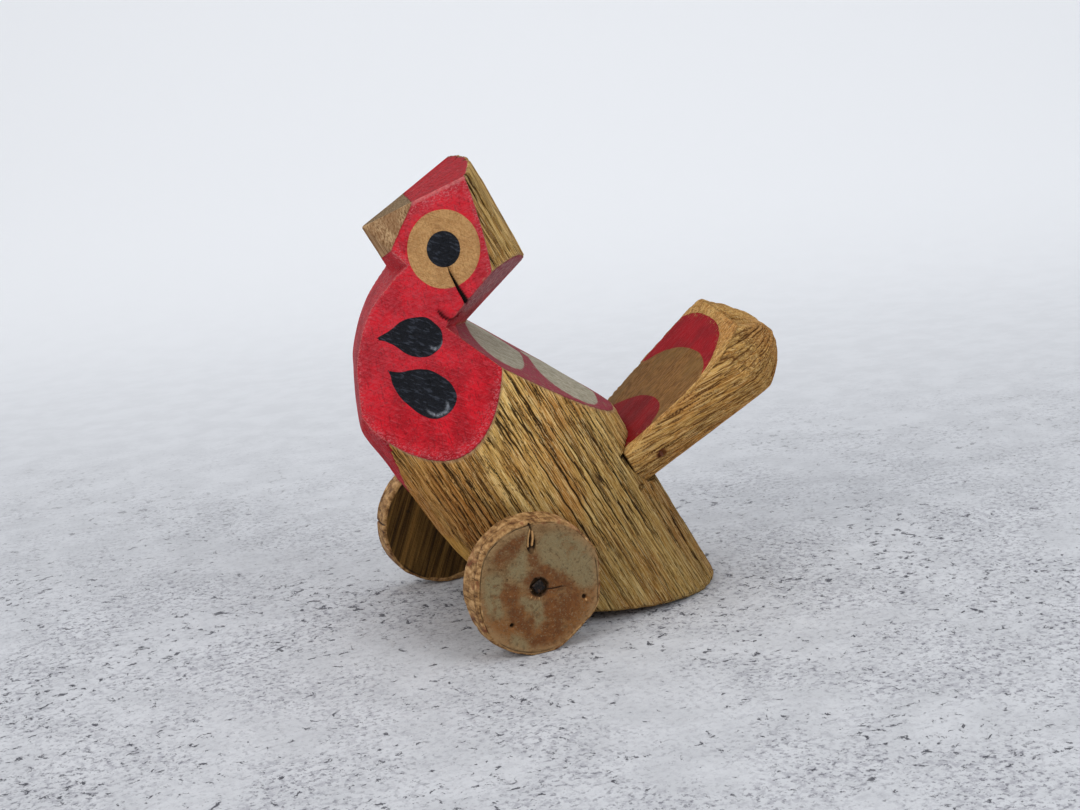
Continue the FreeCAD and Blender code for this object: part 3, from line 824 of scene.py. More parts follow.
def build_wheel(side, material):
    sgn = -1.0 if side == "left" else 1.0
    NA = 520
    a = np.linspace(-np.pi, np.pi, NA, endpoint=False)
    inner_y, outer_y = 33.4, 42.8
    R = rim_radius(side, a)
    seed = 700 if side == "left" else 800
    prof = []          # (kind, fraction or y)
    for f in np.linspace(0, 1, 26):
        prof.append(("in", f))
    for f in np.linspace(0, 1, 24)[1:-1]:
        prof.append(("rim", f))
    for f in np.linspace(1, 0, 64):
        prof.append(("out", f))
    for f in (0.25, 0.5, 0.75, 1.0):
        prof.append(("wall", f))
    for f in (0.8, 0.6, 0.4, 0.2, 0.0):
        prof.append(("seat", f))
    for f in np.linspace(0, 1, 12)[1:-1]:
        prof.append(("hole", f))
    rows_r, rows_y, rows_k = [], [], []
    hub_r = 2.75 * (1 + 0.05 * np.sin(3 * a + 1.0) + 0.06 * np.sin(7 * a + 0.3) + 0.04 * np.sin(11 * a))
    hole_r = 1.16
    for kind, f in prof:
        if kind == "in":
            rr = hole_r + (np.maximum(R, WHEEL_R[side] + 0.1) - 0.4 - hole_r) * f
            yy = inner_y + 0.55 * smooth(0.965, 1.0, f) * 0.7
        elif kind == "rim":
            bulge = 0.55 * (1 - smooth(0.0, 0.14, f)) + 0.55 * smooth(0.86, 1.0, f)
            rr = R - bulge * 0.6 + (np.maximum(R, WHEEL_R[side] + 0.3) - R) * (1 - f) * 0.9
            yy = inner_y + 0.4 + (outer_y - inner_y - 0.8) * f
        elif kind == "out":
            rr = hub_r + (R - 0.36 - hub_r) * f
            yy = outer_y - 0.55 * smooth(0.965, 1.0, f) * 0.7
        elif kind == "wall":
            rr = hub_r * (1 - 0.12 * f)
            yy = outer_y - 1.35 * f
        elif kind == "seat":
            rr = hole_r + (hub_r * 0.88 - hole_r) * f
            yy = outer_y - 1.35
        else:
            rr = np.full(NA, hole_r)
            yy = outer_y - 1.35 - (outer_y - 1.35 - inner_y) * f
        rows_r.append(rr + 0 * a)
        rows_y.append(np.full(NA, yy))
        rows_k.append(np.full(NA, {"in": 0, "rim": 1, "out": 2, "wall": 3, "seat": 4, "hole": 5}[kind]))
    r, y, kd = np.array(rows_r), np.array(rows_y), np.array(rows_k)
    A = np.broadcast_to(a, r.shape)
    X, Z = r * np.cos(A), r * np.sin(A)
    edge = (R[None, :] - r)
    out = (kd == 2)
    inn = (kd == 0)
    rim = (kd == 1)
    # rim: bark with cracks running across it, parallel to the axle
    girth = 2 * np.pi * WHEEL_R[side]
    arc = (A + np.pi) * WHEEL_R[side]
    depth, dark = stamped(seed, arc, y, girth, (31.0, 45.0), [(14, 9.0, 0.28, 0.5), (40, 5.0, 0.2, 0.3), (60, 2.5, 0.16, 0.2)], 1.2)
    ribs = (Noise2(seed + 3, 26)(arc * 26 / girth, y / 7.0) - 0.5) * 0.42 + (Noise2(seed + 4, 110)(arc * 110 / girth, y / 3.5) - 0.5) * 0.16
    seam = np.exp(-((y - (40.2 + 0.9 * np.sin(2 * A + 0.6) + 0.5 * np.sin(5 * A))) / 0.22) ** 2) * rim
    near_rim = smooth(1.2, 0.0, edge) * (kd <= 2)
    fade = np.where(rim, 1.0, near_rim)
    dr = fade * (ribs * 0.8 - 0.05 - depth * 0.8) - 0.22 * seam
    # faces: sawn unevenly; the bark stands a little apart from the wood
    P = np.stack([X, Z, y], -1)
    lumps = (n3(seed + 20, P, 6.0) - 0.5) * 0.45 + (n3(seed + 25, P, 1.6) - 0.5) * 0.16
    rings = 0.05 * np.sin(r * 3.4 + 2.2 * n3(seed + 30, P, 7.0))
    gap = np.exp(-((edge - 1.0 - 0.22 * np.sin(3 * A + 1) - 0.12 * np.sin(7 * A)) / 0.17) ** 2) * smooth(0.1, 0.45, Noise2(seed + 31, 18)((A + np.pi) * 18 / (2 * np.pi), A * 0))
    if side == "left":
        rings = 0.45 * rings
    else:
        rings = 0.10 * (Noise2(seed + 33)((X * 0.92 - Z * 0.39) / 1.1, (X * 0.39 + Z * 0.92) / 22.0) - 0.5)
    face_in = -0.14 + lumps + rings - 0.40 * gap
    crackdark = np.zeros_like(r)
    pale = np.zeros_like(r)
    brown = np.zeros_like(r)
    green = np.zeros_like(r)
    if side == "left":
        opening = poly_sd(X, Z, rounded([(-0.9, 17.4), (-1.9, 15.4), (-2.4, 12.6), (-2.1, 10.7), (-1.2, 9.6), (-0.2, 10.4), (0.3, 12.6), (0.1, 15.3)], 4))
        d2, al2 = line_d(X, Z, [(-1.05, 16.8), (-1.75, 14.5), (-2.05, 12.1)])
        d3, al3 = line_d(X, Z, [(-0.35, 16.2), (-0.3, 14.2), (-0.75, 12.3)])
        splint = np.maximum(np.exp(-(d2 / 0.36) ** 2), np.exp(-(d3 / 0.42) ** 2))
        knot = np.exp(-(((X + 0.9) / 1.1) ** 2 + ((Z - 10.6) / 1.2) ** 2) ** 1.5)
        inside = smooth(-0.25, 0.3, opening)
        face_in = face_in - 1.3 * inside * (1 - knot * 0.7) + 1.25 * splint * inside
        crackdark = np.maximum(crackdark, inside * (1 - splint) * (1 - 0.6 * knot))
        pale = np.maximum(pale, splint * inside)
        top_d, _ = line_d(X, Z, [(-0.7, 17.2), (-1.2, 18.4), (-0.4, 20.0)])
        cleft = np.exp(-(top_d / 0.32) ** 2)
        face_in = face_in - 0.6 * cleft
        crackdark = np.maximum(crackdark, 0.8 * cleft)
        cd2, _ = line_d(X, Z, [(1.6, -1.1), (4.0, -1.4), (6.9, -1.4), (9.4, -2.2)])
        slit = np.exp(-(cd2 / 0.26) ** 2) * smooth(10.0, 6.0, X)
        face_in = face_in - 0.4 * slit
        crackdark = np.maximum(crackdark, 0.75 * slit)
        for hx, hz, size, deep in ((-9.0, -9.5, 0.62, 1.6), (13.5, -5.9, 0.7, 1.2), (-9.2, 4.1, 0.2, 0.3)):
            hole = np.exp(-(((X - hx) ** 2 + (Z - hz) ** 2) / size ** 2) ** 1.5)
            face_in = face_in - deep * hole
            crackdark = np.maximum(crackdark, hole)
        pale = np.maximum(pale, np.exp(-(((X - 13.9) / 0.3) ** 2 + ((Z + 6.8) / 0.45) ** 2)))
        for poly in RUSTY:
            brown = np.maximum(brown, smooth(-1.7, 1.3, poly_sd(X, Z, rounded(poly, 3))))
        for poly in GREENISH:
            green = np.maximum(green, smooth(-2.0, 2.0, poly_sd(X, Z, rounded(poly, 3))))
    else:
        green = smooth(2.0, 9.0, X + 0.4 * Z) * 0.8
        brown = smooth(0.5, 0.62, n3(seed + 60, P, 8.0))
        for hx, hz, size, deep in ((-12.6, 5.4, 0.6, 1.4), (6.0, -8.0, 0.4, 0.8)):
            hole = np.exp(-(((X - hx) ** 2 + (Z - hz) ** 2) / size ** 2))
            face_in = face_in - deep * hole
            crackdark = np.maximum(crackdark, hole)
        d, al = line_d(X, Z, [(3.0, 3.0), (7.0, 8.0), (9.5, 15.0)])
        k = np.exp(-(d / 0.5) ** 2)
        face_in = face_in - 1.0 * k
        crackdark = np.maximum(crackdark, k)
    # frayed wood round the nail on the outside
    fray = smooth(5.0, 3.0, r) * (Noise2(seed + 40, 34)((A + np.pi) * 34 / (2 * np.pi), r / 1.2) - 0.5) * smooth(-0.2, 0.8, np.cos(A + 2.3))
    face_out = np.where(out, face_in + np.maximum(fray, 0) * 0.9 * 0.5, 0.0)
    face_out = np.minimum(face_out, 0.12)
    y2 = y + np.where(out, face_out * smooth(0, 0.6, edge), 0.0)
    inner_d = np.maximum(0.0, (0.22 + (lumps - rings) * 0.6))
    y2 = y2 + np.where(inn, inner_d * smooth(1.4, 4.0, r), 0.0)
    r2 = np.maximum(r + dr * smooth(1.2, 3.5, r), hole_r * 0.98)
    r2 = np.minimum(r2, 20.3 if side == "left" else 20.95)
    X2, Z2 = r2 * np.cos(A), r2 * np.sin(A)
    c = AX[side]
    V = np.stack([X2 + c[0], sgn * y2, Z2 + c[2]], -1) * MM
    V[..., 2] = np.maximum(V[..., 2], 0.0)
    bark = np.clip(np.where(rim, 1.0, smooth(1.1, 0.7, edge + 0.2 * np.sin(3 * A + 1))), 0, 1) * (kd <= 2)
    # dark: painted shade in the bark cracks, the crack and holes in the face and the gap under the bark
    attrs = dict(bark=bark, dark=np.clip(np.where(rim, dark, 0) + crackdark * (out | inn) + gap * 0.8 * (out | inn), 0, 1),
                 pale=np.clip(pale + np.maximum(fray, 0) * 2.2 * out, 0, 1), brown=brown, green=green, rad=r, outer=out * 1.0,
                 straight=np.full_like(r, 0.0 if side == "left" else 1.0), seam=seam,
                 hub=smooth(4.2, 2.6, r) * (kd >= 2))
    lc = np.stack([X2, Z2, y2], -1)
    if side == "right":
        lc = np.stack([X2 * 0.92 - Z2 * 0.39, X2 * 0.39 + Z2 * 0.92, y2], -1)
    nr = len(prof)
    faces = []
    base = grid_faces(nr, NA)
    last = grid_faces(2, NA)
    last = last.copy()
    last = np.where(last >= NA, last - NA, last + (nr - 1) * NA)
    faces = np.vstack([base, last])
    ob = make("bird_wheel_" + side, V.reshape(-1, 3), faces, material, {k: np.asarray(v, float).ravel() for k, v in attrs.items()},
              {"lc": lc.reshape(-1, 3)})
    fix_normals(ob)
    return ob


# ------------------------------------------------------------------ nails
def lathe(name, material, rows, origin, direction, across, seed, n=64):
    """rows: (distance along, half size, squareness 0..1). A forged, slightly uneven solid of such sections."""
    d = np.array(direction, float)
    d /= np.linalg.norm(d)
    x = np.array(across, float)
    x -= d * (x @ d)
    x /= np.linalg.norm(x)
    yv = np.cross(d, x)
    a = np.linspace(0, 2 * np.pi, n, endpoint=False)
    V, H = [], []
    noise = Noise2(seed, 9)
    for h, half, sq in rows:
        e = 2.0 + 7.0 * sq
        sup = (np.abs(np.cos(a)) ** e + np.abs(np.sin(a)) ** e) ** (-1.0 / e)
        rad = half * sup * (1 + 0.035 * (noise(a * 9 / (2 * np.pi), np.full(n, h * 0.9)) - 0.5))
        V.append(np.asarray(origin) + h * d + rad[:, None] * (np.cos(a)[:, None] * x + np.sin(a)[:, None] * yv))
        H.append(np.full(n, h))
    V = np.array(V)
    nr = len(rows)
    faces = [f for f in grid_faces(nr, n)]
    faces.append(np.arange(n)[::-1])
    faces.append(np.arange(n) + (nr - 1) * n)
    ob = make(name, (V * MM).reshape(-1, 3), faces, material, {"h": np.array(H).ravel()}, {"lc": V.reshape(-1, 3)})
    fix_normals(ob)
    return ob


# ------------------------------------------------------------------ materials
def weathered(g, lc, dark, offset=0.0, across=1.0):
    """Debarked, weathered wood: streaks along the third axis of lc (mm)."""
    broad = g.noise(g.scaled(lc, 0.15, 0.15, 0.012, (offset, 0, 0)), 1.0, 3.0, 0.6, 0.4)
    streak = g.noise(g.scaled(lc, 0.80, 0.80, 0.028, (offset + 5, 0, 0)), 1.0, 5.0, 0.62, 0.2)
    fine = g.noise(g.scaled(lc, 3.0, 3.0, 0.11, (offset + 9, 0, 0)), 1.0, 4.0, 0.7)
    spots = g.noise(g.scaled(lc, 1.5, 1.5, 0.5, (offset + 2, 0, 0)), 1.0, 5.0, 0.75)
    lines = g.noise(g.scaled(lc, 1.9, 1.9, 0.055, (offset + 17, 0, 0)), 1.0, 3.0, 0.5, 0.1)
    lines2 = g.noise(g.scaled(lc, 1.15, 1.15, 0.030, (offset + 27, 0, 0)), 1.0, 2.0, 0.5, 0.1)
    hair = g.noise(g.scaled(lc, 4.2, 4.2, 0.16, (offset + 37, 0, 0)), 1.0, 4.0, 0.7, 0.1)
    mix_ = g.add(g.mul(streak, 0.46), g.add(g.mul(broad, 0.20), g.mul(fine, 0.34)))
    col = g.colours(mix_, [(0.36, srgb(110, 72, 34)), (0.43, srgb(152, 110, 54)), (0.49, srgb(182, 142, 76)),
                           (0.55, srgb(202, 166, 98)), (0.64, srgb(226, 200, 140))])
    warm = g.ramp(g.noise(g.scaled(lc, 0.055, 0.055, 0.03, (offset + 31, 0, 0)), 1.0, 2.0), 0.48, 0.64, 0.0, 0.5)
    col = g.mix(warm, col, srgb(176, 116, 54))
    olive = g.ramp(g.noise(g.scaled(lc, 0.07, 0.07, 0.02, (offset + 71, 0, 0)), 1.0, 3.0), 0.54, 0.68, 0.0, 0.22)
    col = g.mix(olive, col, srgb(196, 166, 92))
    # lines of the weathered grain, dark and pale
    dl = g.math("MAXIMUM", g.ramp(lines, 0.43, 0.36), g.ramp(lines2, 0.405, 0.36))
    col = g.mix(g.mul(dl, 0.66), col, srgb(80, 52, 24))
    col = g.mix(g.ramp(hair, 0.455, 0.375, 0.0, 0.85), col, srgb(70, 45, 21))
    col = g.mix(g.ramp(hair, 0.545, 0.625, 0.0, 0.62), col, srgb(238, 212, 156))
    col = g.mix(g.ramp(lines, 0.60, 0.67, 0.0, 0.5), col, srgb(222, 196, 136))
    zone = g.ramp(g.noise(g.scaled(lc, 0.09, 0.09, 0.018, (offset + 51, 0, 0)), 1.0, 2.0), 0.50, 0.60)
    mottled = g.mul(g.ramp(spots, 0.53, 0.62), zone)
    col = g.mix(g.mul(mottled, 0.8), col, srgb(56, 44, 26))
    flecks = g.ramp(spots, 0.60, 0.66, 0.0, 0.6)
    col = g.mix(flecks, col, srgb(150, 88, 40))
    col = g.mix(g.ramp(fine, 0.60, 0.70, 0.0, 0.45), col, srgb(228, 202, 148))
    # painted shade in the drying cracks; on the log also in the tail seat and saw kerfs
    col = g.mix(g.ramp(dark, 0.12, 0.55, 0.0, 0.92), col, srgb(44, 29, 15))
    height = g.add(g.mul(streak, 0.5), g.add(g.mul(g.add(fine, g.mul(hair, 0.7)), 0.35), g.mul(dl, -0.22)))
    return col, height, fine


def log_material():
    g = G("painted_log")
    lc = g.attr("lc", True)
    nat, dark = g.attr("nat"), g.attr("dark")
    wood, h_wood, fine = weathered(g, lc, dark)
    # lighter under the back, soiled towards the base and the breast
    # painted light and shade: the bare wood is darkened towards the base, lightest under the back and darker again on
    # the head, and painted shade browns it at the front below the head
    where_p, where_s = g.parts(lc)
    wood = g.times(wood, g.mul(g.ramp(where_s, 14.0, 84.0, 0.78, 1.48), g.ramp(where_s, 96.0, 106.0, 1.0, 0.70)))
    front_shade = g.mul(g.ramp(where_p, -4.0, -24.0), g.ramp(where_s, 96.0, 84.0))
    wood = g.mix(g.mul(front_shade, 0.80), wood, g.mul3(wood, (0.78, 0.60, 0.46)))
    where_q = g.side(lc)
    bright_streak = g.mul(g.mul(g.ramp(where_q, -17.0, -14.5), g.ramp(where_q, -2.5, -4.5)), g.mul(g.ramp(where_s, 31.0, 35.0), g.ramp(where_s, 48.0, 43.5)))
    bright_streak = g.mul(bright_streak, g.ramp(where_p, -24.0, -27.0))
    wood = g.mix(g.mul(bright_streak, g.ramp(fine, 0.36, 0.60, 0.30, 0.80)), wood, srgb(224, 172, 84))
    cut_grain = g.noise(g.scaled(lc, 2.1, 2.1, 0.09, (3, 0, 0)), 1.0, 4.0, 0.65, 0.2)
    cut_cloud = g.noise(g.scaled(lc, 0.22, 0.22, 0.08, (8, 0, 0)), 1.0, 3.0)
    cut = g.colours(cut_grain, [(0.34, srgb(106, 74, 46)), (0.47, srgb(176, 138, 98)), (0.60, srgb(208, 172, 130))])
    cut = g.mix(g.ramp(cut_cloud, 0.42, 0.62, 0.0, 0.55), cut, srgb(142, 100, 66))
    cut = g.mix(g.mul(g.attr("top"), 0.75), cut, g.mix(g.ramp(cut_grain, 0.38, 0.62), srgb(104, 88, 64), srgb(140, 122, 96)))
    col = g.mix(nat, cut, wood)
    rag = g.sub(g.noise(g.scaled(lc, 0.9, 0.9, 0.5), 1.0, 4.0, 0.6), 0.5)
    finerag = g.sub(g.noise(lc, 2.6, 3.0, 0.6), 0.5)
    ragged = g.add(g.mul(rag, 0.9), g.mul(finerag, 0.35))
    # back facet: a thin painted border and two grey-green ovals, lightened by painted sheen
    backm = g.ramp(g.add(g.attr("back"), g.mul(ragged, 1.3)), 0.05, 0.25)
    wash = g.noise(g.scaled(lc, 0.9, 0.9, 0.22, (12, 0, 0)), 1.0, 5.0, 0.65)
    border = g.mix(g.ramp(wash, 0.35, 0.65), srgb(154, 54, 68), srgb(132, 50, 62))
    border = g.mix(g.ramp(wash, 0.50, 0.66, 0.0, 0.6), border, srgb(158, 120, 96))
    pale = g.mix(g.ramp(wash, 0.36, 0.66), srgb(150, 144, 122), srgb(186, 178, 158))
    pale = g.mix(g.ramp(fine, 0.52, 0.72, 0.0, 0.55), pale, srgb(112, 96, 66))
    ovalm = g.ramp(g.add(g.attr("oval"), g.mul(ragged, 0.9)), -0.15, 0.35)
    col = g.mix(backm, col, g.mix(ovalm, border, pale))
    # red
    tone, top = g.attr("tone"), g.attr("top")
    cloud = g.noise(g.scaled(lc, 0.13, 0.13, 0.11, (1, 0, 0)), 1.0, 4.0, 0.6)
    brush = g.noise(g.scaled(lc, 0.55, 0.55, 2.2, (4, 0, 0)), 1.0, 4.0, 0.65)
    pimple = g.noise(lc, 0.85, 5.0, 0.56)
    stroke = g.noise(g.scaled(g.turned(lc, 0.0, 0.75, 0.0), 1.5, 0.5, 0.20, (44, 0, 0)), 1.0, 5.0, 0.6, 0.15)
    stroke2 = g.noise(g.scaled(g.turned(lc, 0.0, -0.35, 0.0), 2.2, 0.7, 0.24, (47, 0, 0)), 1.0, 4.0, 0.6, 0.1)
    bright = g.mix(g.ramp(cloud, 0.38, 0.62), srgb(240, 22, 42), srgb(196, 14, 32))
    bright = g.mix(g.ramp(stroke, 0.53, 0.66, 0.0, 0.55), bright, srgb(226, 74, 84))
    bright = g.mix(g.ramp(stroke2, 0.45, 0.34, 0.0, 0.55), bright, srgb(142, 12, 26))
    bright = g.mix(g.ramp(brush, 0.50, 0.70, 0.0, 0.4), bright, srgb(218, 58, 66))
    bright = g.mix(g.ramp(pimple, 0.43, 0.32, 0.0, 0.45), bright, srgb(150, 12, 28))
    bright = g.mix(g.ramp(pimple, 0.56, 0.68, 0.0, 0.18), bright, srgb(226, 70, 84))
    # painted sheen, partly worn paint: the bright red turns pinker towards the head
    bright = g.mix(g.mul(g.ramp(where_s, 84.0, 104.0, 0.06, 0.34), g.ramp(brush, 0.40, 0.60, 0.35, 1.0)), bright, srgb(212, 84, 96))
    # red of the chest strip and jaw: partly a duller paint, partly painted shade with a pinkish painted reflection
    dull_shaded_red = g.mix(g.ramp(cloud, 0.38, 0.62), srgb(204, 42, 52), srgb(176, 34, 46))
    dull_shaded_red = g.mix(g.ramp(brush, 0.50, 0.66, 0.0, 0.55), dull_shaded_red, srgb(186, 92, 98))
    dull_shaded_red = g.mix(g.ramp(pimple, 0.44, 0.30, 0.0, 0.5), dull_shaded_red, srgb(126, 44, 58))
    # the crown's red is darker, partly as painted shade on the top face
    crown = g.mix(g.ramp(brush, 0.40, 0.66), srgb(190, 12, 30), srgb(160, 12, 28))
    crown = g.mix(g.mul(g.ramp(where_p, 28.0, 44.0), g.ramp(cloud, 0.36, 0.56, 0.2, 0.6)), crown, srgb(166, 74, 84))
    paint = g.mix(tone, bright, dull_shaded_red)
    # pinkish grey on the jaw facet: painted reflection and shade, partly thin worn paint
    jaw_sheen_and_wear = g.mul(g.mul(g.ramp(where_s, 99.0, 103.0), g.ramp(where_p, 7.0, 11.0)), g.mul(tone, g.ramp(brush, 0.36, 0.58, 0.45, 0.85)))
    paint = g.mix(jaw_sheen_and_wear, paint, g.mix(g.ramp(pimple, 0.40, 0.60), srgb(150, 82, 92), srgb(186, 138, 138)))
    paint = g.mix(top, paint, crown)
    # wear: rubbed facet edges, small chips of bare wood, thin scratches; the pale line on the edge between side and
    # front facets is partly a painted highlight
    side_edge_wear_and_highlight = g.mul(g.ramp(g.math("ABSOLUTE", g.sub(tone, 0.5)), 0.46, 0.10), g.ramp(ragged, -0.25, 0.20))
    fore = g.math("MAXIMUM", g.ramp(where_p, -20.0, -26.0), g.ramp(where_s, 98.0, 104.0))
    paint = g.mix(g.mul(g.mul(side_edge_wear_and_highlight, fore), 0.68), paint, srgb(228, 140, 126))
    near_edge = g.math("MAXIMUM", g.ramp(g.attr("facet"), 2.6, 0.2), g.mul(g.ramp(where_s, 131.0, 135.0), g.sub(1.0, top)))
    top_edge = g.mul(g.mul(g.ramp(where_s, 134.9, 135.6), g.sub(1.0, top)), g.ramp(ragged, -0.30, 0.10))
    paint = g.mix(g.mul(top_edge, 0.6), paint, srgb(234, 156, 150))
    hatch = g.noise(g.scaled(lc, 1.2, 1.2, 2.6, (81, 0, 0)), 1.0, 4.0, 0.65, 0.6)
    paint = g.mix(g.mul(g.mul(g.ramp(hatch, 0.50, 0.60), near_edge), 0.70), paint, srgb(232, 124, 130))
    scr = g.noise(g.scaled(lc, 0.35, 0.35, 4.2, (61, 0, 0)), 1.0, 2.0, 0.5)
    scr2 = g.noise(g.scaled(lc, 3.6, 3.6, 0.30, (63, 0, 0)), 1.0, 2.0, 0.5)
    scratch = g.math("MAXIMUM", g.ramp(scr, 0.66, 0.70), g.ramp(scr2, 0.66, 0.71))
    paint = g.mix(g.mul(scratch, 0.22), paint, srgb(232, 126, 122))
    chip = g.noise(g.scaled(lc, 1.7, 1.7, 1.1, (21, 0, 0)), 1.0, 5.0, 0.7)
    chipz = g.noise(g.scaled(lc, 0.16, 0.16, 0.13, (23, 0, 0)), 1.0, 2.0)
    chipm = g.mul(g.ramp(chip, 0.64, 0.69), g.ramp(chipz, 0.50, 0.60))
    redm = g.ramp(g.add(g.attr("red"), g.mul(ragged, 0.5)), -0.02, 0.10)
    rim_ = g.mul(redm, g.ramp(g.add(g.attr("red"), g.mul(ragged, 0.4)), 0.55, 0.12))
    redm = g.mul(redm, g.sub(1.0, g.mul(chipm, 0.7)))
    redm = g.mul(redm, g.sub(1.0, g.attr("under")))
    paint = g.mix(g.mul(rim_, 0.35), paint, srgb(140, 18, 30))
    col = g.mix(redm, col, paint)
    # eye
    eye = g.add(g.attr("eye"), g.mul(ragged, 0.18))
    ringm = g.ramp(eye, 11.02, 10.88)
    ringc = g.mix(g.ramp(cut_grain, 0.38, 0.62), srgb(196, 144, 88), srgb(216, 168, 110))
    ringc = g.mix(g.ramp(cloud, 0.42, 0.62, 0.0, 0.5), ringc, srgb(180, 130, 80))
    ringc = g.mix(g.ramp(brush, 0.48, 0.62, 0.0, 0.4), ringc, srgb(228, 178, 122))
    ringc = g.mix(g.ramp(pimple, 0.36, 0.26, 0.0, 0.5), ringc, srgb(132, 90, 54))
    col = g.mix(ringm, col, ringc)
    black = g.mix(g.ramp(brush, 0.4, 0.7), srgb(16, 19, 26), srgb(28, 31, 40))
    black = g.mix(g.ramp(stroke, 0.52, 0.64, 0.0, 0.55), black, srgb(74, 80, 92))
    black = g.mix(g.ramp(stroke2, 0.46, 0.36, 0.0, 0.6), black, srgb(8, 9, 14))
    black = g.mix(g.mul(g.attr("glint"), g.ramp(fine, 0.38, 0.54, 0.25, 0.85)), black, srgb(172, 178, 188))
    pupil = g.ramp(eye, 5.12, 4.98)
    dropm = g.ramp(g.add(g.attr("drop"), g.mul(ragged, 0.22)), -0.03, 0.08)
    blackm = g.math("MAXIMUM", pupil, dropm)
    col = g.mix(blackm, col, black)
    # cracks and cuts, painted shade: near black in the eye's drying crack, dark red in the knife cut at the neck
    slit = g.ramp(g.attr("crack"), 0.25, 0.65)
    col = g.mix(slit, col, srgb(18, 10, 6))
    col = g.mix(g.ramp(g.attr("knife"), 0.25, 0.8, 0.0, 0.92), col, srgb(84, 10, 18))
    col = g.mix(g.ramp(g.attr("nick"), 0.15, 0.5, 0.0, 0.6), col, srgb(216, 132, 118))
    # relief: grain in wood, brush marks and filled grain under the paint
    painted = g.math("MAXIMUM", redm, g.math("MAXIMUM", ringm, g.mul(backm, 0.5)))
    h_paint = g.add(g.add(g.mul(stroke, 1.25), g.add(g.mul(stroke2, 0.9), g.mul(cut_grain, 0.2))), g.add(g.mul(pimple, 0.8), g.mul(scratch, -0.10)))
    height = g.add(g.mul(g.sub(1.0, painted), h_wood), g.mul(painted, h_paint))
    height = g.add(height, g.add(g.mul(redm, 0.10), g.mul(blackm, 0.10)))
    normal = g.bump(height, 1.0, 0.0009)
    rough = g.add(0.46, g.mul(g.sub(1.0, painted), 0.42))
    rough = g.add(rough, g.mul(g.mul(g.math("MAXIMUM", tone, top), painted), 0.12))
    rough = g.add(rough, g.mul(g.sub(cloud, 0.5), 0.24))
    rough = g.sub(rough, g.mul(blackm, 0.12))
    return g.finish(col, rough, normal, 0.16)


def tail_material():
    g = G("painted_tail")
    lc = g.attr("lc", True)
    wood, h_wood, fine = weathered(g, lc, g.attr("dark"), 140.0)
    wood = g.mix(0.22, wood, srgb(184, 120, 62))
    wood = g.times(wood, g.ramp(g.attr("endw"), 0.0, 1.0, 1.24, 1.06))
    rag = g.sub(g.noise(g.scaled(lc, 0.9, 0.9, 0.3), 1.0, 4.0, 0.6), 0.5)
    finerag = g.sub(g.noise(lc, 2.6, 3.0, 0.6), 0.5)
    ragged = g.add(g.mul(rag, 0.5), g.mul(finerag, 0.3))
    cloud = g.noise(g.scaled(lc, 0.12, 0.12, 0.08, (1, 0, 0)), 1.0, 4.0, 0.6)
    grain = g.noise(g.scaled(lc, 1.5, 1.5, 0.06, (2, 0, 0)), 1.0, 4.0, 0.6)
    red = g.mix(g.ramp(cloud, 0.35, 0.65), srgb(158, 6, 20), srgb(134, 6, 18))
    red = g.mix(g.ramp(grain, 0.52, 0.66, 0.0, 0.45), red, srgb(178, 40, 50))
    tan_ = g.mix(g.ramp(grain, 0.40, 0.60), srgb(106, 70, 28), srgb(142, 102, 54))
    tan_ = g.mix(g.ramp(cloud, 0.42, 0.62, 0.0, 0.5), tan_, srgb(124, 94, 50))
    inner = g.mix(g.ramp(cloud, 0.35, 0.65), srgb(138, 12, 18), srgb(112, 10, 14))
    inner = g.mix(g.ramp(grain, 0.52, 0.64, 0.0, 0.4), inner, srgb(150, 52, 54))
    paint = g.mix(g.ramp(g.add(g.attr("tan"), g.mul(ragged, 0.6)), -0.03, 0.08), red, tan_)
    paint = g.mix(g.ramp(g.add(g.attr("inner"), g.mul(ragged, 0.6)), -0.03, 0.08), paint, inner)
    tipz = g.ramp(g.attr("paint"), 2.6, 0.2)
    scuff = g.mul(g.ramp(g.noise(g.scaled(lc, 1.4, 1.4, 0.8, (21, 0, 0)), 1.0, 5.0, 0.7), 0.56, 0.62, 0.0, 0.85), tipz)
    pm = g.mul(g.ramp(g.add(g.attr("paint"), g.mul(ragged, 0.9)), 0.0, 0.12), g.sub(1.0, g.mul(scuff, 0.8)))
    col = g.mix(pm, wood, paint)
    rust = g.ramp(g.add(g.attr("rust"), g.mul(ragged, 1.2)), 2.4, 1.2, 0.0, 0.8)
    col = g.mix(rust, col, srgb(104, 44, 20))
    height = g.add(g.mul(g.sub(1.0, pm), h_wood), g.mul(pm, g.mul(grain, 0.35)))
    height = g.add(height, g.mul(pm, 0.12))
    rough = g.add(0.60, g.mul(g.sub(1.0, pm), 0.20))
    return g.finish(col, rough, g.bump(height, 1.0, 0.0009), 0.10)


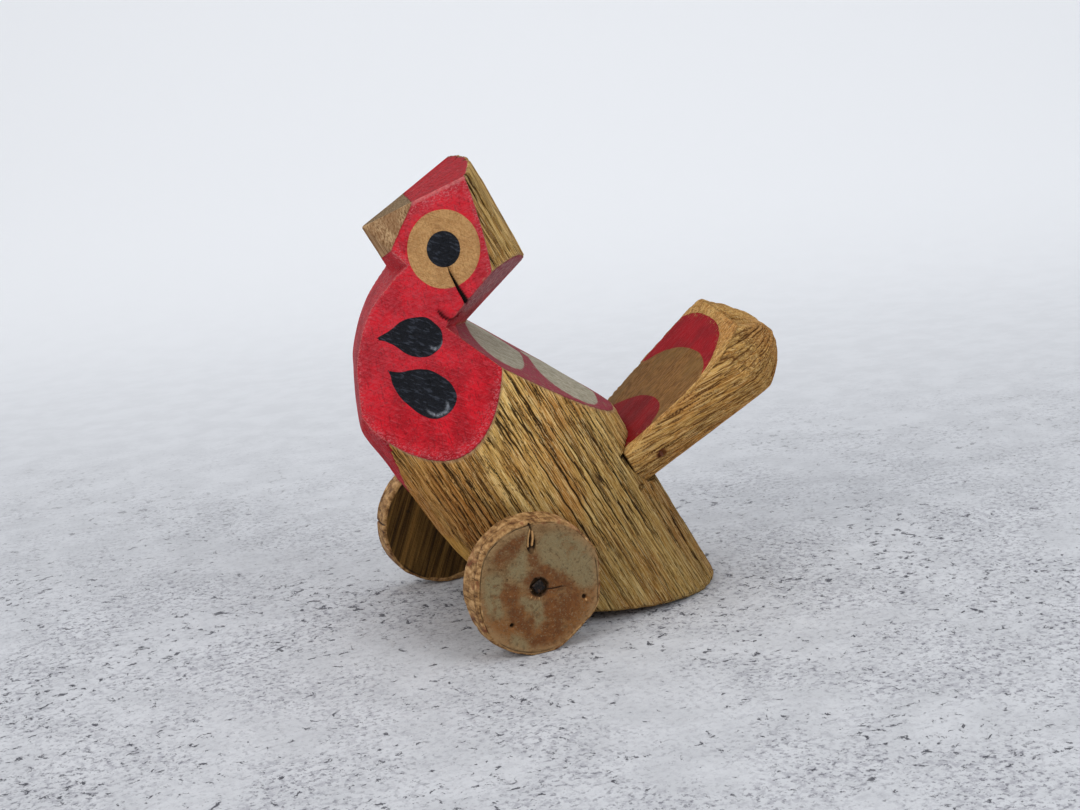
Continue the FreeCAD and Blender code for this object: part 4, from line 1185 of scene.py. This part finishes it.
def wheel_material():
    g = G("branch_slice")
    lc = g.attr("lc", True)
    bark, dark, rad, straight = g.attr("bark"), g.attr("dark"), g.attr("rad"), g.attr("straight")
    flutter = g.noise(g.scaled(lc, 0.16, 0.16, 0.3, (7, 0, 0)), 1.0, 3.0, 0.5)
    ring = g.math("SINE", g.add(g.mul(rad, 2.6), g.mul(flutter, 9.0)))
    ring = g.add(g.mul(ring, 0.5), 0.5)
    stripe = g.noise(g.scaled(lc, 0.62, 0.022, 0.05, (15, 0, 0)), 1.0, 3.0, 0.55)
    stripef = g.noise(g.scaled(lc, 2.6, 0.07, 0.2, (16, 0, 0)), 1.0, 4.0, 0.6)
    sawn = g.noise(g.scaled(lc, 0.8, 0.8, 0.5, (3, 0, 0)), 1.0, 4.0, 0.65)
    blotch = g.noise(g.scaled(lc, 0.24, 0.24, 0.2, (9, 0, 0)), 1.0, 5.0, 0.62, 0.5)
    specks = g.noise(g.scaled(lc, 1.7, 1.7, 1.0, (5, 0, 0)), 1.0, 5.0, 0.7)
    # plain sawn face, round and straight grained
    round_ = g.colours(g.add(g.mul(sawn, 0.75), g.mul(ring, 0.10)), [(0.34, srgb(84, 58, 34)), (0.46, srgb(118, 86, 52)), (0.60, srgb(146, 112, 72))])
    split = g.colours(g.add(g.mul(stripe, 0.7), g.mul(stripef, 0.3)), [(0.38, srgb(46, 30, 12)), (0.48, srgb(78, 54, 22)), (0.56, srgb(108, 80, 38)), (0.64, srgb(134, 98, 48))])
    wood = g.mix(straight, round_, split)
    # worn paint on the outside: grey-green, tan and rusty brown
    e = g.mul(g.sub(specks, 0.5), 1.5)
    e2 = g.mul(g.sub(blotch, 0.5), 2.4)
    tan_ = g.mix(g.ramp(blotch, 0.38, 0.60), srgb(138, 110, 74), srgb(122, 92, 58))
    tan_ = g.mix(g.ramp(specks, 0.55, 0.70, 0.0, 0.5), tan_, srgb(98, 66, 38))
    below = g.mul(g.ramp(g.side(lc), 4.0, -4.0), g.ramp(blotch, 0.34, 0.56, 0.35, 0.85))
    tan_ = g.mix(below, tan_, g.mix(g.ramp(specks, 0.40, 0.60), srgb(150, 98, 50), srgb(124, 80, 46)))
    gg = g.mix(g.ramp(specks, 0.38, 0.62), srgb(150, 138, 104), srgb(130, 112, 78))
    gg = g.mix(g.ramp(blotch, 0.50, 0.64, 0.0, 0.45), gg, srgb(122, 96, 62))
    rust = g.mix(g.ramp(specks, 0.36, 0.60), srgb(118, 70, 36), srgb(96, 56, 28))
    rust = g.mix(g.ramp(blotch, 0.48, 0.62, 0.0, 0.6), rust, srgb(134, 86, 46))
    e3 = g.mul(g.sub(g.noise(g.scaled(lc, 0.55, 0.55, 0.5, (33, 0, 0)), 1.0, 5.0, 0.65), 0.5), 2.6)
    face = g.mix(g.ramp(g.add(g.attr("green"), g.add(e, e2)), 0.10, 1.00, 0.0, 0.9), tan_, gg)
    face = g.mix(g.ramp(g.add(g.attr("brown"), g.add(e, g.add(g.mul(e2, 1.0), e3))), 0.02, 1.00, 0.0, 0.88), face, rust)
    face = g.mix(g.ramp(specks, 0.54, 0.66, 0.0, 0.38), face, srgb(178, 158, 120))
    face = g.mix(g.ramp(sawn, 0.46, 0.34, 0.0, 0.5), face, srgb(84, 62, 40))
    face = g.mix(g.ramp(specks, 0.45, 0.35, 0.0, 0.65), face, srgb(70, 48, 32))
    # painted highlight, partly worn paint: a lighter band round the edge of the outer face
    face = g.mix(g.mul(g.ramp(rad, 15.8, 18.8), g.ramp(sawn, 0.36, 0.58, 0.2, 0.6)), face, srgb(166, 134, 94))
    face = g.mix(g.attr("outer"), wood, face)
    face = g.mix(g.ramp(g.attr("pale"), 0.25, 0.8, 0.0, 0.9), face, srgb(206, 160, 106))
    barkg = g.noise(g.scaled(lc, 0.5, 0.5, 0.35, (13, 0, 0)), 1.0, 5.0, 0.65)
    barkc = g.colours(barkg, [(0.36, srgb(98, 66, 40)), (0.46, srgb(148, 110, 68)), (0.55, srgb(178, 138, 90)), (0.66, srgb(208, 166, 116))])
    barkc = g.mix(g.ramp(blotch, 0.52, 0.64, 0.0, 0.55), barkc, srgb(130, 70, 48))
    barkc = g.mix(g.mul(g.attr("seam"), 0.7), barkc, srgb(70, 44, 26))
    col = g.mix(g.ramp(bark, 0.3, 0.7), face, barkc)
    # painted shade where 'dark' is set: cracks, holes and the gap under the bark
    col = g.mix(g.ramp(dark, 0.2, 0.8, 0.0, 0.93), col, srgb(34, 22, 14))
    # painted shade in the hollow round the nail
    col = g.mix(g.ramp(g.attr("hub"), 0.72, 1.0, 0.0, 0.75), col, srgb(52, 36, 22))
    height = g.add(g.mul(sawn, 0.5), g.add(g.mul(g.mul(stripef, straight), 0.3), g.add(g.mul(specks, 0.35), g.mul(g.mul(bark, barkg), 0.4))))
    rough = g.add(0.66, g.mul(g.sub(blotch, 0.5), 0.25))
    return g.finish(col, rough, g.bump(height, 0.9, 0.0009), 0.15)


def iron_material(name, rusty):
    g = G(name)
    lc = g.attr("lc", True)
    a = g.noise(lc, 1.6 if not rusty else 2.6, 4.0, 0.65)
    b = g.noise(lc, 5.0, 3.0, 0.6)
    if rusty:
        col = g.colours(a, [(0.36, srgb(58, 30, 18)), (0.50, srgb(104, 52, 26)), (0.64, srgb(132, 74, 38))])
        rough = g.ramp(b, 0.3, 0.7, 0.6, 0.85)
        metal = 0.35
    else:
        col = g.colours(a, [(0.38, srgb(26, 24, 24)), (0.52, srgb(44, 40, 38)), (0.66, srgb(86, 58, 40))])
        rough = g.ramp(b, 0.3, 0.7, 0.38, 0.68)
        metal = 0.8
    g.bsdf.inputs["Metallic"].default_value = metal
    return g.finish(col, rough, g.bump(g.add(g.mul(a, 0.6), g.mul(b, 0.4)), 0.6, 0.0002), 0.5)


# ------------------------------------------------------------------ pieces
M_LOG, M_TAIL, M_WHEEL = log_material(), tail_material(), wheel_material()
M_NAIL, M_TACK = iron_material("dark_iron", False), iron_material("rusty_iron", True)

log = build_log(M_LOG)
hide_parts("body_log")
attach(log, "body")

tail = build_tail(M_TAIL)
fix_normals(tail)
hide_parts("tail")
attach(tail, "body")

for side, body, sign in (("left", "wheel_l", -1.0), ("right", "wheel_r", 1.0)):
    w = build_wheel(side, M_WHEEL)
    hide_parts("wheel_" + side)
    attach(w, body)
    turn = math.radians(28.0)
    rows = [(0.0, 0.12, 0.3), (1.2, 0.55, 0.4), (3.4, 0.98, 0.25), (6.0, 1.06, 0.15), (12.0, 1.08, 0.1), (20.0, 1.08, 0.0), (28.0, 1.08, 0.0), (35.4, 1.08, 0.1),
            (35.66, 1.3, 0.6), (35.72, 1.60, 1.0), (35.95, 1.66, 1.0), (36.3, 1.64, 1.0), (36.55, 1.52, 0.95), (36.72, 1.30, 0.85),
            (36.82, 0.95, 0.7), (36.86, 0.5, 0.5), (36.87, 0.12, 0.3)]
    origin = AX[side] + np.array([0.0, sign * 6.0, 0.0])
    n = lathe("nail_" + side, M_NAIL, rows, origin, (0.0, sign, 0.0), (math.cos(turn), 0.0, math.sin(turn)), 900 + int(sign))
    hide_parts("axle_nail_" + side)
    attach(n, "body")

tn = frame["nodes"]["tail_tack"]
tv = np.array([v.co for v in tn.data.vertices], float) / MM
td = -0.86 * PV + 0.50 * QV + 0.06 * U
td /= np.linalg.norm(td)
tl = tv @ td
foot = tv.mean(0) - td * (tv.mean(0) @ td) + td * tl.min()
cen_ = 0.5 * (tv.max(0) + tv.min(0))
foot = cen_ - td * (cen_ @ td) + td * tl.min()
tack = lathe("tack", M_TACK, [(0.02, 0.10, 0.0), (0.03, 0.55, 0.0), (0.08, 0.95, 0.0), (0.18, 1.20, 0.1), (0.32, 1.27, 0.1), (0.46, 1.18, 0.0), (0.52, 0.75, 0.0),
                              (0.75, 0.66, 0.0), (6.0, 0.66, 0.0), (14.0, 0.66, 0.0), (19.0, 0.60, 0.0), (20.7, 0.3, 0.0), (21.3, 0.08, 0.0)],
             foot, td, (0.0, 0.0, 1.0), 950, 40)
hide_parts("tail_tack")
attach(tack, "body")

# ------------------------------------------------------------------ floor and backdrop in one sweep
CAM_A, CAM_E, CAM_R, CAM_D = math.radians(-22.2302), math.radians(13.1195), math.radians(-5.2955), 539.6076
back_dir = np.array([math.sin(CAM_A) * 1.0, -math.cos(CAM_A), 0.0])     # towards the camera, on the floor
right_dir = np.array([math.cos(CAM_A), math.sin(CAM_A), 0.0])
centre = np.array([0.0, 0.0, 0.0])


def build_stage():
    g = G("plaster_floor")
    pos = g.t.nodes.new("ShaderNodeTexCoord").outputs["Object"]
    big = g.noise(pos, 6.0, 4.0, 0.6)
    mid = g.noise(pos, 60.0, 5.0, 0.65)
    small = g.noise(pos, 420.0, 4.0, 0.7)
    pits = g.noise(pos, 270.0, 5.0, 0.72, 0.5)
    zone = g.noise(pos, 14.0, 3.0, 0.6)
    thresh = g.ramp(zone, 0.36, 0.66, 0.630, 0.570)
    pit = g.ramp(g.sub(pits, thresh), 0.0, 0.035)
    away = g.attr("away")
    near_ = g.ramp(away, 0.30, -0.05)
    light_ = g.mix(g.ramp(mid, 0.35, 0.65), srgb(196, 198, 202), srgb(207, 209, 213))
    wall = g.mix(g.ramp(away, 0.05, 0.65), light_, srgb(244, 246, 249))
    grit = g.noise(pos, 620.0, 3.0, 0.65)
    wear = g.ramp(g.noise(pos, 22.0, 4.0, 0.6), 0.38, 0.62, 0.25, 1.0)
    col = g.mix(g.mul(g.mul(g.ramp(small, 0.46, 0.62, 0.0, 0.75), wear), near_), wall, srgb(158, 158, 166))
    col = g.mix(g.mul(g.mul(g.ramp(grit, 0.54, 0.64, 0.0, 0.8), wear), near_), col, srgb(108, 108, 116))
    col = g.mix(g.mul(g.mul(pit, 0.9), near_), col, srgb(64, 64, 72))
    height = g.add(g.add(g.mul(mid, 0.6), g.mul(small, 0.5)), g.add(g.mul(big, 0.6), g.mul(pit, -0.6)))
    height = g.mul(height, near_)
    mat = g.finish(col, 0.85, g.bump(height, 0.45, 0.0013), 0.2)
    # sweep profile: floor, quarter bend, wall
    prof = [(-0.9, 0.0), (0.42, 0.0)]
    rad = 0.5
    for a in np.linspace(0, math.pi / 2, 28)[1:]:
        prof.append((0.42 + rad * math.sin(a), rad - rad * math.cos(a)))
    prof.append((0.42 + rad, 2.4))
    xs = np.linspace(-2.2, 2.2, 12)
    fine = []
    for (d0, z0), (d1, z1) in zip(prof[:-1], prof[1:]):
        fine.append((d0, z0))
    fine.append(prof[-1])
    V, away_ = [], []
    fine = [(d, 0.0) for d in np.linspace(-0.9, 0.40, 60)] + fine[1:]
    for d, z in fine:
        for x in xs:
            w = -back_dir * d + right_dir * x
            V.append((w[0], w[1], z - 0.0001))
            away_.append(d)
    nr = len(fine)
    ob = make("floor_sweep", V, grid_faces(nr, len(xs), False), mat, {"away": away_})
    return ob


build_stage()

# ------------------------------------------------------------------ light
world_ = bpy.data.worlds.new("studio")
bpy.context.scene.world = world_
world_.use_nodes = True
bg = world_.node_tree.nodes["Background"]
bg.inputs[0].default_value = (0.93, 0.95, 1.0, 1.0)
bg.inputs[1].default_value = 0.42


def area(name, right, towards, up, size, power, colour=(1.0, 1.0, 1.0), aim=(0.0, 0.0, 0.06)):
    li = bpy.data.lights.new(name, "AREA")
    li.shape = "RECTANGLE"
    li.size, li.size_y = size
    li.energy = power
    li.color = colour
    ob = bpy.data.objects.new(name, li)
    bpy.context.scene.collection.objects.link(ob)
    loc = Vector(right_dir * right + back_dir * towards + np.array([0, 0, up]))
    ob.location = loc
    ob.rotation_euler = (Vector(aim) - loc).to_track_quat("-Z", "Y").to_euler()
    return ob


area("key_left", -0.75, 0.85, 0.85, (0.7, 0.7), 6.6, (1.0, 0.985, 0.96))
area("key_right", 0.85, 0.75, 0.80, (0.7, 0.7), 5.4, (0.97, 0.985, 1.0))
area("overhead", 0.0, -0.10, 1.3, (1.0, 0.8), 4.6)

# ------------------------------------------------------------------ camera
target = np.array([-13.8541, 0.0, 60.2308]) + SHIFT
ca, sa, ce, se = math.cos(CAM_A), math.sin(CAM_A), math.cos(CAM_E), math.sin(CAM_E)
Bv = np.array([sa * ce, -ca * ce, se])
Rt = np.array([ca, sa, 0.0])
Uc = np.cross(Bv, Rt)
cr, sr = math.cos(CAM_R), math.sin(CAM_R)
Xc = Rt * cr + Uc * sr
Yc = -Rt * sr + Uc * cr
cam_data = bpy.data.cameras.new("camera")
cam_data.lens, cam_data.sensor_width, cam_data.sensor_fit = 60.0, 36.0, "HORIZONTAL"
cam_data.clip_start, cam_data.clip_end = 0.01, 20.0
cam = bpy.data.objects.new("camera", cam_data)
bpy.context.scene.collection.objects.link(cam)
loc = (target + Bv * CAM_D) * MM
m = Matrix.Identity(4)
for i in range(3):
    m[i][0], m[i][1], m[i][2], m[i][3] = Xc[i], Yc[i], Bv[i], loc[i]
cam.matrix_world = m
bpy.context.scene.camera = cam
bpy.context.scene.view_settings.view_transform = "Standard"
bpy.context.scene.view_settings.look = "None"
bpy.context.scene.view_settings.exposure = 0.0
bpy.context.scene.view_settings.gamma = 1.0


bpy.context.view_layer.update()
